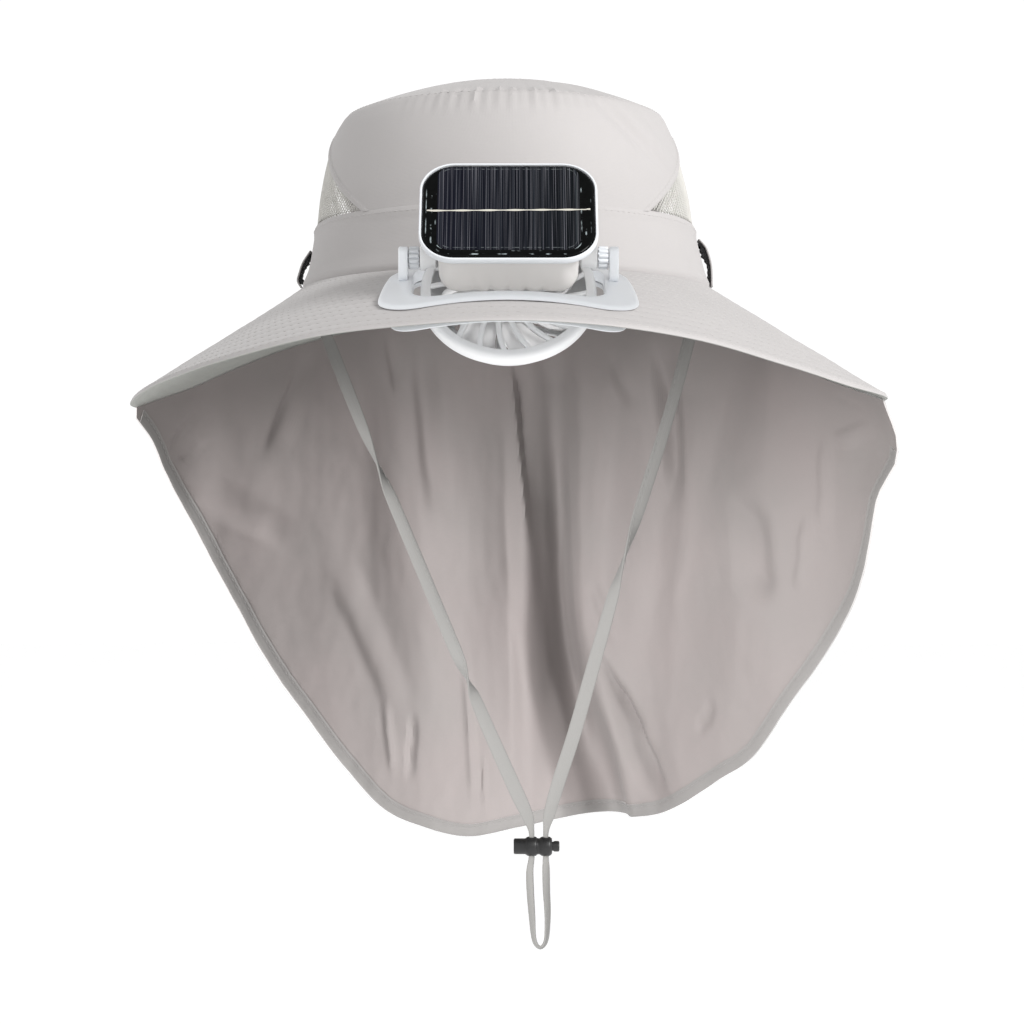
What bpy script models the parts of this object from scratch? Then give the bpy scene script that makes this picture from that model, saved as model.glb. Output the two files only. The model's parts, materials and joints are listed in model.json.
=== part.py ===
# A sun hat with a tilting solar fan on its brim and a long neck flap
# Metres, +Z up. The origin is the centre of the oval where the crown meets the brim.
# The front of the hat faces -Y, and +X is the right of a person who looks at it.

import math

import bmesh
import bpy
from mathutils import Vector

# Clearances
SEAT_GAP = 0.0003
CLOTH_GAP = 0.0004

# Crown
HEAD_HALF_WIDTH = 0.090
HEAD_HALF_DEPTH = 0.105
CROWN_WALL_HEIGHT = 0.0725
CROWN_DOME_RISE = 0.0165
DOME_FALL = 1.9
BAND_HEIGHT = 0.026
CROWN_CLOTH = 0.0014
BAND_CLOTH = 0.0016
TIP_SEAM_PUCKER = 0.0009
CROWN_CREASE_DEPTH = 0.0022

# Vents
VENT_HALF_ANGLE = 44.0
VENT_APEX_HEIGHT = 0.066
VENT_TOP_INSET = 0.0022
NET_THICKNESS = 0.001
SEAM_HALF_ANGLE = 0.12

# Brim
BRIM_HALF_WIDTH = 0.162
BRIM_BACK_REACH = 0.176
BRIM_SIDE_DROP = 0.050
BRIM_CLOTH = 0.002
BRIM_PAST_PLATE = 0.0085

# Neck flap
FLAP_LENGTH = 0.2022
FLAP_CLOTH = 0.0012
HEM_CLOTH = 0.002
HEM_WIDTH = 0.005
FLAP_LEFT_CORNER = 86.0
FLAP_RIGHT_CORNER = 82.0
FLAP_FLARE = 0.020
FLAP_FOLD_DEPTH = 0.012
FLAP_LEAST_DROP = 0.004

# Side loops
TAB_WIDTH = 0.013
TAB_CLOTH = 0.0009
TAB_STAND_OFF = 0.0044
ELASTIC_WIDTH = 0.0091

# Fan pivot and tilt
PIVOT_FORWARD = 0.033
PIVOT_HEIGHT = -0.0005
PANEL_ELEVATION = 35.0

# Fan cage, in the fan's own frame: x right, y up in the panel's plane, z out of the panel
CAGE_CENTRE_DOWN = 0.015
CAGE_RADIUS = 0.033
CAGE_RIM_WIDTH = 0.004
CAGE_RIM_DEPTH = 0.005
CAGE_DEPTH = 0.016
CAGE_BACK_RADIUS = 0.0255
CAGE_WALL = 0.0016
SPOKE_COUNT = 20
SPOKE_WIDTH = 0.0019
SPOKE_SWIRL = -26.0
CAGE_HUB_RADIUS = 0.012
CAGE_EDGE = 0.0004
CAGE_BACK_INSET = 0.0008
CAGE_BACK_CURVE = 0.0016

# Motor and impeller
MOTOR_RADIUS = 0.009
MOTOR_LENGTH = 0.003
SHAFT_RADIUS = 0.001
SHAFT_PROUD = 0.001
IMPELLER_HUB_RADIUS = 0.0102
IMPELLER_RADIUS = 0.0255
IMPELLER_DEPTH = 0.006
BLADE_COUNT = 7
BLADE_THICKNESS = 0.0012
BLADE_INSET = 0.0006
BLADE_SPAN_SHARE = 0.78

# Housing and panel
HOUSING_WIDTH = 0.052
HOUSING_BOTTOM = -0.020
HOUSING_TOP = 0.022
HOUSING_CORNER = 0.007
HOUSING_FOOT_INSET = 0.0016
HOUSING_FOOT_HEIGHT = 0.0030
PANEL_WIDTH = 0.0662
PANEL_HEIGHT = 0.0477
PANEL_CORNER = 0.0135
PANEL_CENTRE_UP = 0.0023
PANEL_FACE = 0.024
TRAY_THICKNESS = 0.0034
TRAY_RIM = 0.0009
TRAY_CHAMFER = 0.0010
TRAY_EDGE = 0.0003
CELL_THICKNESS = 0.0016
CELL_BEVEL = 0.0006

# Pivot
BOSS_RADIUS = 0.0049
BOSS_INNER = 0.0272
BOSS_OUTER = 0.0334
DRUM_RADIUS = 0.0044
DRUM_RIB = 0.0005
DRUM_RIB_COUNT = 11
POST_INNER = 0.0379
POST_THICKNESS = 0.0036
POST_WIDTH = 0.0085
POST_RISE = 0.0041
POST_EDGE = 0.0004
SPIGOT_RADIUS = 0.0014

# Clip plates
OPENING_HALF_WIDTH = 0.036
OPENING_BACK = 0.0115
OPENING_FRONT = 0.0642
OPENING_CORNER = 0.012
PLATE_THICKNESS = 0.0018
PLATE_EDGE = 0.0012
PLATE_EDGE_SINK = 0.0005
PLATE_STEP = 0.0001
COLLAR_WALL = 0.0012
PLATE_HALF_WIDTH = 0.0485
PLATE_BACK = 0.0060
PLATE_FRONT = 0.0700
PLATE_CORNER = 0.0165
PLATE_BACK_NARROWING = 0.10
LOWER_HALF_WIDTH = 0.0430
LOWER_FRONT = 0.0765
LOWER_CORNER = 0.010
LIP_DEPTH = 0.0026
LOWER_GAP = 0.0007
LIP_WALL = 0.0014

# The brim is as wide in front as the plates need
BRIM_FRONT_REACH = HEAD_HALF_DEPTH + LOWER_FRONT + BRIM_PAST_PLATE

# Cord lock
LOCK_CENTRE = (0.0020, -0.0060, -0.2410)
BARREL_LENGTH = 0.0166
BARREL_RADIUS = 0.0034
BARREL_RIB_RADIUS = 0.0042
BARREL_FLOOR = 0.0024
BORE_RADIUS = 0.0026
PLUNGER_RADIUS = 0.0023
PLUNGER_PROUD = 0.0032
PRESS_TRAVEL = 0.0022
STRAP_HOLES = (0.0078, 0.0139)
HOLE_LENGTH = 0.0030
HOLE_WIDTH = 0.0030
LOCK_RIB_HALF = 0.0022
LOCK_CHAMFER = 0.0006
LOCK_RIB_EDGE = 0.0002

# Chin strap, a tape drawn as a slim tube
STRAP_TUBE_RADIUS = 0.0012

# Height share of the wall, then shares of half width left and right and of half depth
CROWN_SECTIONS = (
    (0.000, 1.000, 0.972, 1.000),
    (0.055, 0.978, 0.952, 0.985),
    (0.110, 0.962, 0.937, 0.972),
    (0.330, 0.932, 0.895, 0.945),
    (0.540, 0.913, 0.868, 0.920),
    (0.750, 0.879, 0.824, 0.885),
    (0.900, 0.838, 0.781, 0.842),
    (1.000, 0.790, 0.745, 0.790),
)

# Turn from the front in degrees, then the edge's drop and its curl as shares of the side drop
BRIM_SECTIONS = (
    (-180.0, 1.04, 0.30),
    (-135.0, 1.06, 0.20),
    (-90.0, 1.00, -0.18),
    (-75.0, 0.99, -0.10),
    (-55.0, 0.87, 0.10),
    (-40.0, 0.752, 0.30),
    (-25.0, 0.623, 0.46),
    (-12.0, 0.564, 0.54),
    (0.0, 0.537, 0.566),
    (12.0, 0.566, 0.54),
    (25.0, 0.65, 0.46),
    (40.0, 0.805, 0.30),
    (55.0, 0.92, 0.18),
    (70.0, 0.95, 0.00),
    (90.0, 0.95, -0.10),
    (135.0, 1.06, 0.20),
    (180.0, 1.04, 0.30),
)

# Share of the way from the flap's left corner to its right one, then where its seam lies on the
# brim (0 at the crown, 1 at the brim's edge) and the hem's drop as a share of the flap
FLAP_SECTIONS = (
    (0.000, 0.985, 0.030),
    (0.025, 0.890, 0.086),
    (0.070, 0.740, 0.228),
    (0.100, 0.600, 0.370),
    (0.150, 0.430, 0.568),
    (0.200, 0.315, 0.707),
    (0.250, 0.220, 0.827),
    (0.300, 0.165, 0.921),
    (0.350, 0.130, 0.966),
    (0.425, 0.095, 1.000),
    (0.500, 0.080, 0.980),
    (0.575, 0.095, 0.954),
    (0.640, 0.125, 0.936),
    (0.710, 0.180, 0.928),
    (0.750, 0.220, 0.905),
    (0.800, 0.315, 0.842),
    (0.850, 0.430, 0.772),
    (0.900, 0.600, 0.608),
    (0.930, 0.740, 0.485),
    (0.960, 0.850, 0.360),
    (0.980, 0.920, 0.240),
    (1.000, 0.985, 0.070),
)

# Place and half width as shares of the way round, the fold's depth outwards as a share of the
# fold depth, where it starts and ends as shares of the flap's length, and its lean
FLAP_FOLDS = (
    (0.047, 0.035, 0.25, 0.00, 0.50, 0.050),
    (0.116, 0.045, -0.18, 0.00, 0.90, 0.020),
    (0.190, 0.045, 0.50, -0.10, 0.85, 0.020),
    (0.265, 0.040, -0.30, 0.10, 1.10, 0.030),
    (0.323, 0.040, 0.50, -0.10, 0.70, 0.015),
    (0.434, 0.050, -0.55, 0.05, 1.10, 0.000),
    (0.508, 0.022, -0.60, 0.10, 0.95, 0.012),
    (0.556, 0.030, 0.95, -0.15, 0.95, -0.012),
    (0.655, 0.042, -0.35, 0.00, 0.90, -0.012),
    (0.730, 0.040, 0.55, 0.00, 1.00, -0.060),
    (0.850, 0.050, -0.30, 0.00, 0.90, -0.020),
    (0.940, 0.042, 0.50, 0.10, 0.90, -0.010),
    (0.995, 0.045, 0.85, -0.10, 0.20, 0.000),
)

# Height share of the loop, then how far the loop and the elastic stand, as shares of the
# stand-off: loop left, elastic thickness left, loop right, elastic thickness right
TAB_SECTIONS = (
    (0.00, 0.34, 0.16, 0.34, 0.16),
    (0.14, 0.84, 0.42, 0.62, 0.20),
    (0.30, 1.00, 0.14, 0.86, 0.14),
    (0.50, 0.98, 0.12, 1.00, 0.14),
    (0.68, 0.86, 0.36, 0.98, 0.50),
    (0.84, 0.62, 0.24, 0.86, 0.46),
    (1.00, 0.34, 0.14, 0.40, 0.16),
)
ELASTIC_SHARES = (0.10, 0.92)
TAB_TOP_LEFT = 0.0165
TAB_TOP_RIGHT = 0.0215
TAB_FOOT = 0.0012

# The strap's route, chosen by hand, from its left end inside the band to its right end
STRAP_ROUTE = (
    (-0.0821, -0.0060, 0.0140),
    (-0.0828, -0.0060, 0.0080),
    (-0.0838, -0.0060, 0.0000),
    (-0.0828, -0.0060, -0.0100),
    (-0.0774, -0.0060, -0.0240),
    (-0.0672, -0.0060, -0.0500),
    (-0.0560, -0.0060, -0.0780),
    (-0.0455, -0.0060, -0.1030),
    (-0.0342, -0.0060, -0.1300),
    (-0.0220, -0.0060, -0.1590),
    (-0.0095, -0.0060, -0.1890),
    (0.0030, -0.0060, -0.2170),
    (0.0080, -0.0060, -0.2280),
    (0.0097, -0.0060, -0.2345),
    (0.0098, -0.0060, -0.2400),
    (0.0098, -0.0060, -0.2455),
    (0.0090, -0.0060, -0.2520),
    (0.0093, -0.0060, -0.2620),
    (0.0100, -0.0060, -0.2720),
    (0.0104, -0.0060, -0.2780),
    (0.0110, -0.0060, -0.2818),
    (0.0121, -0.0060, -0.2840),
    (0.0135, -0.0060, -0.2848),
    (0.0149, -0.0060, -0.2840),
    (0.0160, -0.0060, -0.2818),
    (0.0165, -0.0060, -0.2780),
    (0.0167, -0.0060, -0.2700),
    (0.0162, -0.0060, -0.2600),
    (0.0160, -0.0060, -0.2500),
    (0.0159, -0.0060, -0.2455),
    (0.0159, -0.0060, -0.2400),
    (0.0160, -0.0060, -0.2345),
    (0.0172, -0.0060, -0.2280),
    (0.0215, -0.0060, -0.2130),
    (0.0280, -0.0060, -0.1930),
    (0.0348, -0.0060, -0.1690),
    (0.0410, -0.0060, -0.1470),
    (0.0472, -0.0060, -0.1250),
    (0.0575, -0.0060, -0.0920),
    (0.0672, -0.0060, -0.0610),
    (0.0735, -0.0060, -0.0390),
    (0.0775, -0.0060, -0.0230),
    (0.0808, -0.0060, -0.0100),
    (0.0818, -0.0060, 0.0000),
    (0.0803, -0.0060, 0.0080),
    (0.0791, -0.0060, 0.0140),
)
STRAP_POINTS = 62

# How finely the round pieces are cut
CROWN_COLUMNS = 40
PANEL_COLUMNS = {"crown_front_panel": 24, "crown_back_panel": 12}
VENT_COLUMNS = 8
FLAP_COLUMNS = 40
FLAP_ROWS = 7


def clear_scene():
    for item in list(bpy.data.objects):
        bpy.data.objects.remove(item, do_unlink=True)


def finish(name, colour, roughness, metallic=0.0):
    """A plain material with one Principled shader."""
    material = bpy.data.materials.new(name)
    material.use_nodes = True
    shader = material.node_tree.nodes["Principled BSDF"]
    shader.inputs["Base Color"].default_value = (*colour, 1.0)
    shader.inputs["Roughness"].default_value = roughness
    shader.inputs["Metallic"].default_value = metallic
    material.diffuse_color = (*colour, 1.0)
    return material


def keep(name, mesh, material, smooth_angle=35.0):
    """Turns a bmesh into a shaded object."""
    data = bpy.data.meshes.new(name)
    bmesh.ops.recalc_face_normals(mesh, faces=mesh.faces)
    mesh.to_mesh(data)
    mesh.free()
    data.materials.append(material)
    data.shade_smooth()
    data.set_sharp_from_angle(angle=math.radians(smooth_angle))
    made = bpy.data.objects.new(name, data)
    bpy.context.scene.collection.objects.link(made)
    return made


def helper(made):
    """Marks an object as a cutting or joining tool, left out of the model."""
    made.hide_render = True
    made.display_type = "WIRE"
    return made


def boolean(target, tool, operation):
    modifier = target.modifiers.new(operation.title(), "BOOLEAN")
    modifier.operation = operation
    modifier.object = tool
    modifier.solver = "EXACT"


def smooth_value(table, key, column):
    """A column's value at key, on a smooth curve through the table's rows."""
    if key <= table[0][0]:
        return table[0][column]
    if key >= table[-1][0]:
        return table[-1][column]
    after = next(i for i, row in enumerate(table) if row[0] >= key)
    before = after - 1
    span = table[after][0] - table[before][0]
    share = (key - table[before][0]) / span

    def slope(i):
        low = max(i - 1, 0)
        high = min(i + 1, len(table) - 1)
        return (table[high][column] - table[low][column]) / (table[high][0] - table[low][0])

    start = table[before][column]
    end = table[after][column]
    cube = share ** 3
    square = share ** 2
    return (
        start * (2 * cube - 3 * square + 1)
        + end * (3 * square - 2 * cube)
        + slope(before) * span * (cube - 2 * square + share)
        + slope(after) * span * (cube - square)
    )


def spaced(first, last, count):
    return [first + (last - first) * i / count for i in range(count + 1)]


def bump(distance):
    """A smooth hump, 1 at 0 and 0 beyond 1."""
    if abs(distance) >= 1.0:
        return 0.0
    return (1.0 - distance ** 2) ** 2


def grid_solid(name, upper, lower, material, ring=False, is_open=None, smooth_angle=35.0):
    """A closed wall between two grids of points, where is_open(column, row) cuts a cell through."""
    mesh = bmesh.new()
    tops = [[mesh.verts.new(point) for point in row] for row in upper]
    lows = [[mesh.verts.new(point) for point in row] for row in lower]
    wide = len(tops[0])
    columns = wide if ring else wide - 1
    rows = len(tops) - 1

    def solid(column, row):
        if ring:
            column %= columns
        if not 0 <= column < columns or not 0 <= row < rows:
            return False
        return is_open is None or not is_open(column, row)

    for row in range(rows):
        for column in range(columns):
            if not solid(column, row):
                continue
            a = column
            b = (column + 1) % wide
            c = row
            d = row + 1
            mesh.faces.new((tops[c][a], tops[c][b], tops[d][b], tops[d][a]))
            mesh.faces.new((lows[d][a], lows[d][b], lows[c][b], lows[c][a]))
            if not solid(column, row - 1):
                mesh.faces.new((tops[c][b], tops[c][a], lows[c][a], lows[c][b]))
            if not solid(column, row + 1):
                mesh.faces.new((tops[d][a], tops[d][b], lows[d][b], lows[d][a]))
            if not solid(column - 1, row):
                mesh.faces.new((tops[c][a], tops[d][a], lows[d][a], lows[c][a]))
            if not solid(column + 1, row):
                mesh.faces.new((tops[d][b], tops[c][b], lows[c][b], lows[d][b]))
    loose = [vertex for vertex in mesh.verts if not vertex.link_faces]
    bmesh.ops.delete(mesh, geom=loose, context="VERTS")
    bmesh.ops.remove_doubles(mesh, verts=mesh.verts, dist=1e-6)
    return keep(name, mesh, material, smooth_angle)


def sheet(name, surface, across, down, thickness, material, ring=False, inward=1.0, level=False):
    """A wall whose outside is surface(u, v), its inside one thickness in, sideways only if level."""
    step = 1e-3
    outside = []
    inside = []
    for v in down:
        outer_row = []
        inner_row = []
        for u in across:
            point = Vector(surface(u, v))
            along = Vector(surface(u + step, v)) - Vector(surface(u - step, v))
            low = max(v - step, down[0])
            high = min(v + step, down[-1])
            drop = Vector(surface(u, high)) - Vector(surface(u, low))
            normal = along.cross(drop)
            if normal.length < 1e-12:
                normal = Vector((0.0, 0.0, -inward))
            if level:
                normal.z = 0.0
            depth = thickness(u, v) if callable(thickness) else thickness
            outer_row.append(point)
            inner_row.append(point + normal.normalized() * inward * depth)
        outside.append(outer_row)
        inside.append(inner_row)
    return grid_solid(name, outside, inside, material, ring)


def turned(name, profile, material, steps=32, smooth_angle=35.0):
    """A solid turned round z from (radius, height) points that start and end on the axis."""
    mesh = bmesh.new()
    rings = []
    for radius, height in profile:
        if radius < 1e-9:
            rings.append([mesh.verts.new((0.0, 0.0, height))])
            continue
        turns = [2 * math.pi * i / steps for i in range(steps)]
        ring = [mesh.verts.new((radius * math.cos(t), radius * math.sin(t), height)) for t in turns]
        rings.append(ring)
    for first, second in zip(rings, rings[1:]):
        for i in range(steps):
            j = (i + 1) % steps
            corners = [first[i % len(first)], first[j % len(first)]]
            corners += [second[j % len(second)], second[i % len(second)]]
            mesh.faces.new(list(dict.fromkeys(corners)))
    return keep(name, mesh, material, smooth_angle)


def rounded_outline(half_x, half_y, corner, corner_steps=5, side_steps=3):
    """Points round a rectangle with round corners, from the middle of its +x side."""
    points = []
    centres = ((1, 1, 0), (-1, 1, 90), (-1, -1, 180), (1, -1, 270))
    for sign_x, sign_y, start in centres:
        for i in range(corner_steps + 1):
            turn = math.radians(start + 90 * i / corner_steps)
            x = sign_x * (half_x - corner) + corner * math.cos(turn)
            y = sign_y * (half_y - corner) + corner * math.sin(turn)
            points.append((x, y))
    filled = []
    count = len(points)
    for i, point in enumerate(points):
        filled.append(point)
        following = points[(i + 1) % count]
        if i % (corner_steps + 1) == corner_steps:
            for k in range(1, side_steps):
                share = k / side_steps
                x = point[0] + (following[0] - point[0]) * share
                y = point[1] + (following[1] - point[1]) * share
                filled.append((x, y))
    return filled


def block(name, outline, sections, material, smooth_angle=35.0):
    """A solid stacked from an outline: each section is (inset, height), bottom first."""
    mesh = bmesh.new()
    rings = []
    reach_x = max(x for x, _ in outline)
    reach_y = max(y for _, y in outline)
    for inset, height in sections:
        scale_x = (reach_x - inset) / reach_x
        scale_y = (reach_y - inset) / reach_y
        rings.append([mesh.verts.new((x * scale_x, y * scale_y, height)) for x, y in outline])
    for first, second in zip(rings, rings[1:]):
        for i in range(len(first)):
            j = (i + 1) % len(first)
            mesh.faces.new((first[i], first[j], second[j], second[i]))
    mesh.faces.new(rings[0][::-1])
    mesh.faces.new(rings[-1])
    return keep(name, mesh, material, smooth_angle)


# Crown

def crown_point(turn, height):
    """Outside of the crown wall: turn in degrees from the front towards +X, height in metres."""
    share = height / CROWN_WALL_HEIGHT
    side = 2 if math.sin(math.radians(turn)) > 0 else 1
    half_width = HEAD_HALF_WIDTH * smooth_value(CROWN_SECTIONS, share, side)
    half_depth = HEAD_HALF_DEPTH * smooth_value(CROWN_SECTIONS, share, 3)
    bend = math.radians(turn)
    puffed = 1.0 + crown_relief(turn, share) / half_depth
    return (
        half_width * math.sin(bend) * puffed,
        -half_depth * math.cos(bend) * puffed,
        height,
    )


def crown_relief(turn, share):
    """How far the cloth stands out: puckers under the front tip seam, and one slanting crease."""
    front = bump(turn / 62.0)
    near_seam = bump((1.0 - share) / 0.22)
    pucker = TIP_SEAM_PUCKER * front * near_seam * math.sin(math.radians(turn * 24.0))
    middle = 44.0 + 26.0 * (1.0 - share)
    crease = -CROWN_CREASE_DEPTH * bump((turn - middle) / 9.0) * bump((share - 0.86) / 0.34)
    return pucker + crease


def vent_half_turn(height):
    """Half the vent's width in degrees at a height, or the side seam above its apex."""
    rise = (height - BAND_HEIGHT) / (VENT_APEX_HEIGHT - BAND_HEIGHT)
    return max(VENT_HALF_ANGLE * (1.0 - rise), SEAM_HALF_ANGLE)


def crown_panel(name, middle, material):
    """The cloth between the two vents, in front or behind."""
    low = BAND_HEIGHT + SEAT_GAP
    high = CROWN_WALL_HEIGHT
    apex = (VENT_APEX_HEIGHT - low) / (high - low)
    rows = spaced(0.0, apex, 3) + spaced(apex, 1.0, 1)[1:]

    def surface(u, v):
        height = low + (high - low) * v
        half = 90.0 - vent_half_turn(height) - SEAM_HALF_ANGLE
        return crown_point(middle + half * u, height)

    columns = spaced(-1.0, 1.0, PANEL_COLUMNS[name])
    return sheet(name, surface, columns, rows, CROWN_CLOTH, material, inward=-1.0, level=True)


def mesh_vent(name, middle, material):
    """The net triangle at one side, its base on the band."""
    low = BAND_HEIGHT + SEAT_GAP
    high = VENT_APEX_HEIGHT - VENT_TOP_INSET

    def surface(u, v):
        height = low + (high - low) * v
        half = vent_half_turn(height) - 2 * SEAM_HALF_ANGLE
        return crown_point(middle + half * u, height)

    columns = spaced(-1.0, 1.0, VENT_COLUMNS)
    rows = spaced(0.0, 1.0, 3)
    return sheet(name, surface, columns, rows, NET_THICKNESS, material, inward=-1.0, level=True)


def crown_band(material):
    def surface(u, v):
        return crown_point(u, SEAT_GAP + (BAND_HEIGHT - SEAT_GAP) * v)

    columns = spaced(-180.0, 180.0, CROWN_COLUMNS)[:-1]
    rows = (0.0, 0.15, 0.32, 1.0)
    cloth = BAND_CLOTH
    return sheet("crown_band", surface, columns, rows, cloth, material, True, inward=-1.0, level=True)


def dome_point(turn, reach):
    """Outside of the tip, where reach is 0 at its middle and 1 at its seam."""
    x, y, _ = crown_point(turn, CROWN_WALL_HEIGHT)
    rise = 1.0 - min(reach, 1.0) ** DOME_FALL
    return (x * reach, y * reach, CROWN_WALL_HEIGHT + SEAT_GAP + CROWN_DOME_RISE * rise)


def crown_top(material):
    columns = spaced(-180.0, 180.0, CROWN_COLUMNS)[:-1]
    rows = (0.0, 0.42, 0.70, 0.90, 1.0)
    upper = [[dome_point(turn, reach) for turn in columns] for reach in rows]
    inset = (HEAD_HALF_WIDTH - CROWN_CLOTH) / HEAD_HALF_WIDTH
    lower = []
    for reach in rows:
        drop = CROWN_CLOTH if reach < 0.99 else 0.0
        row = []
        for turn in columns:
            x, y, z = dome_point(turn, reach)
            row.append((x * inset, y * inset, z - drop))
        lower.append(row)
    return grid_solid("crown_top", upper, lower, material, ring=True)


# Brim

def brim_point(turn, reach):
    """Top of the brim: reach is 0 at the crown and 1 at the outer edge."""
    bend = math.radians(turn)
    side = 2 if math.sin(bend) > 0 else 1
    inner_x = HEAD_HALF_WIDTH * CROWN_SECTIONS[0][side] - BAND_CLOTH
    inner_y = HEAD_HALF_DEPTH - BAND_CLOTH
    outer_y = BRIM_FRONT_REACH if math.cos(bend) > 0 else BRIM_BACK_REACH
    wrapped = (turn + 180.0) % 360.0 - 180.0
    drop = BRIM_SIDE_DROP * smooth_value(BRIM_SECTIONS, wrapped, 1)
    curl = smooth_value(BRIM_SECTIONS, wrapped, 2)
    return (
        math.sin(bend) * (inner_x + (BRIM_HALF_WIDTH - inner_x) * reach),
        -math.cos(bend) * (inner_y + (outer_y - inner_y) * reach),
        -drop * ((1.0 - curl) * reach + curl * reach * reach),
    )


def brim_height(x, y):
    """Height of the brim's top in front of the crown at a place in plan."""
    low = 0.0
    high = 1.0
    for _ in range(30):
        middle = (low + high) / 2
        wide = abs(brim_point(90.0 if x > 0 else -90.0, middle)[0])
        deep = abs(brim_point(0.0, middle)[1])
        if (x / wide) ** 2 + (y / deep) ** 2 > 1.0:
            low = middle
        else:
            high = middle
    turn = math.degrees(math.atan2(x / wide, -y / deep))
    return brim_point(turn, middle)[2]


def brim(material):
    columns = spaced(-180.0, 180.0, CROWN_COLUMNS)[:-1]
    rows = (0.0, 0.22, 0.44, 0.66, 0.88, 1.0)
    upper = [[brim_point(turn, reach) for turn in columns] for reach in rows]
    lower = [[(x, y, z - BRIM_CLOTH) for x, y, z in row] for row in upper]
    made = grid_solid("brim", upper, lower, material, ring=True)
    edge = COLLAR_WALL + SEAT_GAP
    half_length = (OPENING_FRONT - OPENING_BACK) / 2 + edge
    outline = rounded_outline(OPENING_HALF_WIDTH + edge, half_length, OPENING_CORNER + edge)
    sections = ((0.0, -BRIM_SIDE_DROP), (0.0, BRIM_SIDE_DROP))
    cutter = helper(block("slot_cutter", outline, sections, material))
    cutter.location = (0.0, opening_middle(), 0.0)
    boolean(made, cutter, "DIFFERENCE")
    return made


def opening_middle():
    return -HEAD_HALF_DEPTH - (OPENING_FRONT + OPENING_BACK) / 2


# Neck flap

def flap_turn(share):
    """Turn from the front at a share of the way from the left corner round the back."""
    whole = 360.0 - FLAP_LEFT_CORNER - FLAP_RIGHT_CORNER
    return -FLAP_LEFT_CORNER - whole * share


def flap_point(share, down):
    """Outside of the flap: down is 0 at its seam under the brim and 1 at the hem."""
    turn = flap_turn(share)
    x, y, z = brim_point(turn, smooth_value(FLAP_SECTIONS, share, 1))
    top = z - BRIM_CLOTH - CLOTH_GAP
    hem = -BRIM_SIDE_DROP - FLAP_LENGTH * smooth_value(FLAP_SECTIONS, share, 2)
    height = top + (min(hem, top - FLAP_LEAST_DROP) - top) * down
    depth = (top - height) / FLAP_LENGTH
    scale = 1.0 + FLAP_FLARE * depth
    reach = math.hypot(x, y)
    grown = 1.0 + flap_fold(share, depth) / reach
    return (x * scale * grown, y * scale * grown, height)


def flap_fold(share, depth):
    """How far the folds push the cloth out at a share of the way round and of the length."""
    outward = 0.0
    for place, half, size, start, end, lean in FLAP_FOLDS:
        middle = place + lean * depth
        length = bump((depth - (start + end) / 2) / ((end - start) * 0.62))
        outward += FLAP_FOLD_DEPTH * size * bump((share - middle) / (half * 1.6)) * length
    return outward * min(depth * 7.0, 1.0)


def neck_flap(material):
    columns = spaced(0.0, 1.0, FLAP_COLUMNS)
    hem_share = 1.0 - HEM_WIDTH / FLAP_LENGTH
    rows = spaced(0.0, hem_share, FLAP_ROWS) + [1.0]
    rows.insert(-1, hem_share + 0.002)

    def thickness(u, v):
        return HEM_CLOTH if v > hem_share + 0.001 else FLAP_CLOTH

    return sheet("neck_flap", flap_point, columns, rows, thickness, material, inward=-1.0)


# Side loops

def tab_point(side, height_share, along, stand):
    """A point that stands off the band at the side: along runs front to back in metres."""
    top = TAB_TOP_RIGHT if side > 0 else TAB_TOP_LEFT
    height = TAB_FOOT + (top - TAB_FOOT) * height_share
    turn = side * (90.0 - math.degrees(along / HEAD_HALF_DEPTH))
    x, y, z = crown_point(turn, height)
    return (x + side * stand, y, z)


def side_tab(name, side, material):
    """The cloth loop: its outside, then its inside one cloth thickness in."""
    column = 3 if side > 0 else 1
    shares = spaced(0.0, 1.0, 6)
    places = (-TAB_WIDTH / 2, 0.0, TAB_WIDTH / 2)
    upper = []
    lower = []
    for share in shares:
        stand = TAB_STAND_OFF * smooth_value(TAB_SECTIONS, share, column)
        stand = max(stand, TAB_CLOTH + CLOTH_GAP)
        upper.append([tab_point(side, share, place, stand) for place in places])
        lower.append([tab_point(side, share, place, stand - TAB_CLOTH) for place in places])
    return grid_solid(name, upper, lower, material)


def side_elastic(name, side, material):
    """The black elastic that lies just inside the cloth loop, thicker where it is gathered."""
    column = 3 if side > 0 else 1
    upper = []
    lower = []
    places = (-ELASTIC_WIDTH / 2, 0.0, ELASTIC_WIDTH / 2)
    for share in spaced(*ELASTIC_SHARES, 6):
        outer = TAB_STAND_OFF * smooth_value(TAB_SECTIONS, share, column)
        outer -= TAB_CLOTH + SEAT_GAP
        thick = TAB_STAND_OFF * smooth_value(TAB_SECTIONS, share, column + 1)
        thick = min(thick, outer - SEAT_GAP)
        upper.append([tab_point(side, share, place, outer) for place in places])
        lower.append([tab_point(side, share, place, outer - thick) for place in places])
    return grid_solid(name, upper, lower, material)


# Clip plates

def plate_rings(outline_in, outline_out, rows):
    """Rings between two outlines, each a distance out from the inner one or, where it is
    negative, in from the outer one, which None stands for."""
    rings = []
    for distance in rows:
        ring = []
        for (ax, ay), (bx, by) in zip(outline_in, outline_out):
            length = math.hypot(bx - ax, by - ay)
            share = 1.0 if distance is None else distance / length
            if distance is not None and distance < 0:
                share = 1.0 + distance / length
            ring.append((ax + (bx - ax) * share, ay + (by - ay) * share))
        rings.append(ring)
    return rings


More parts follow.
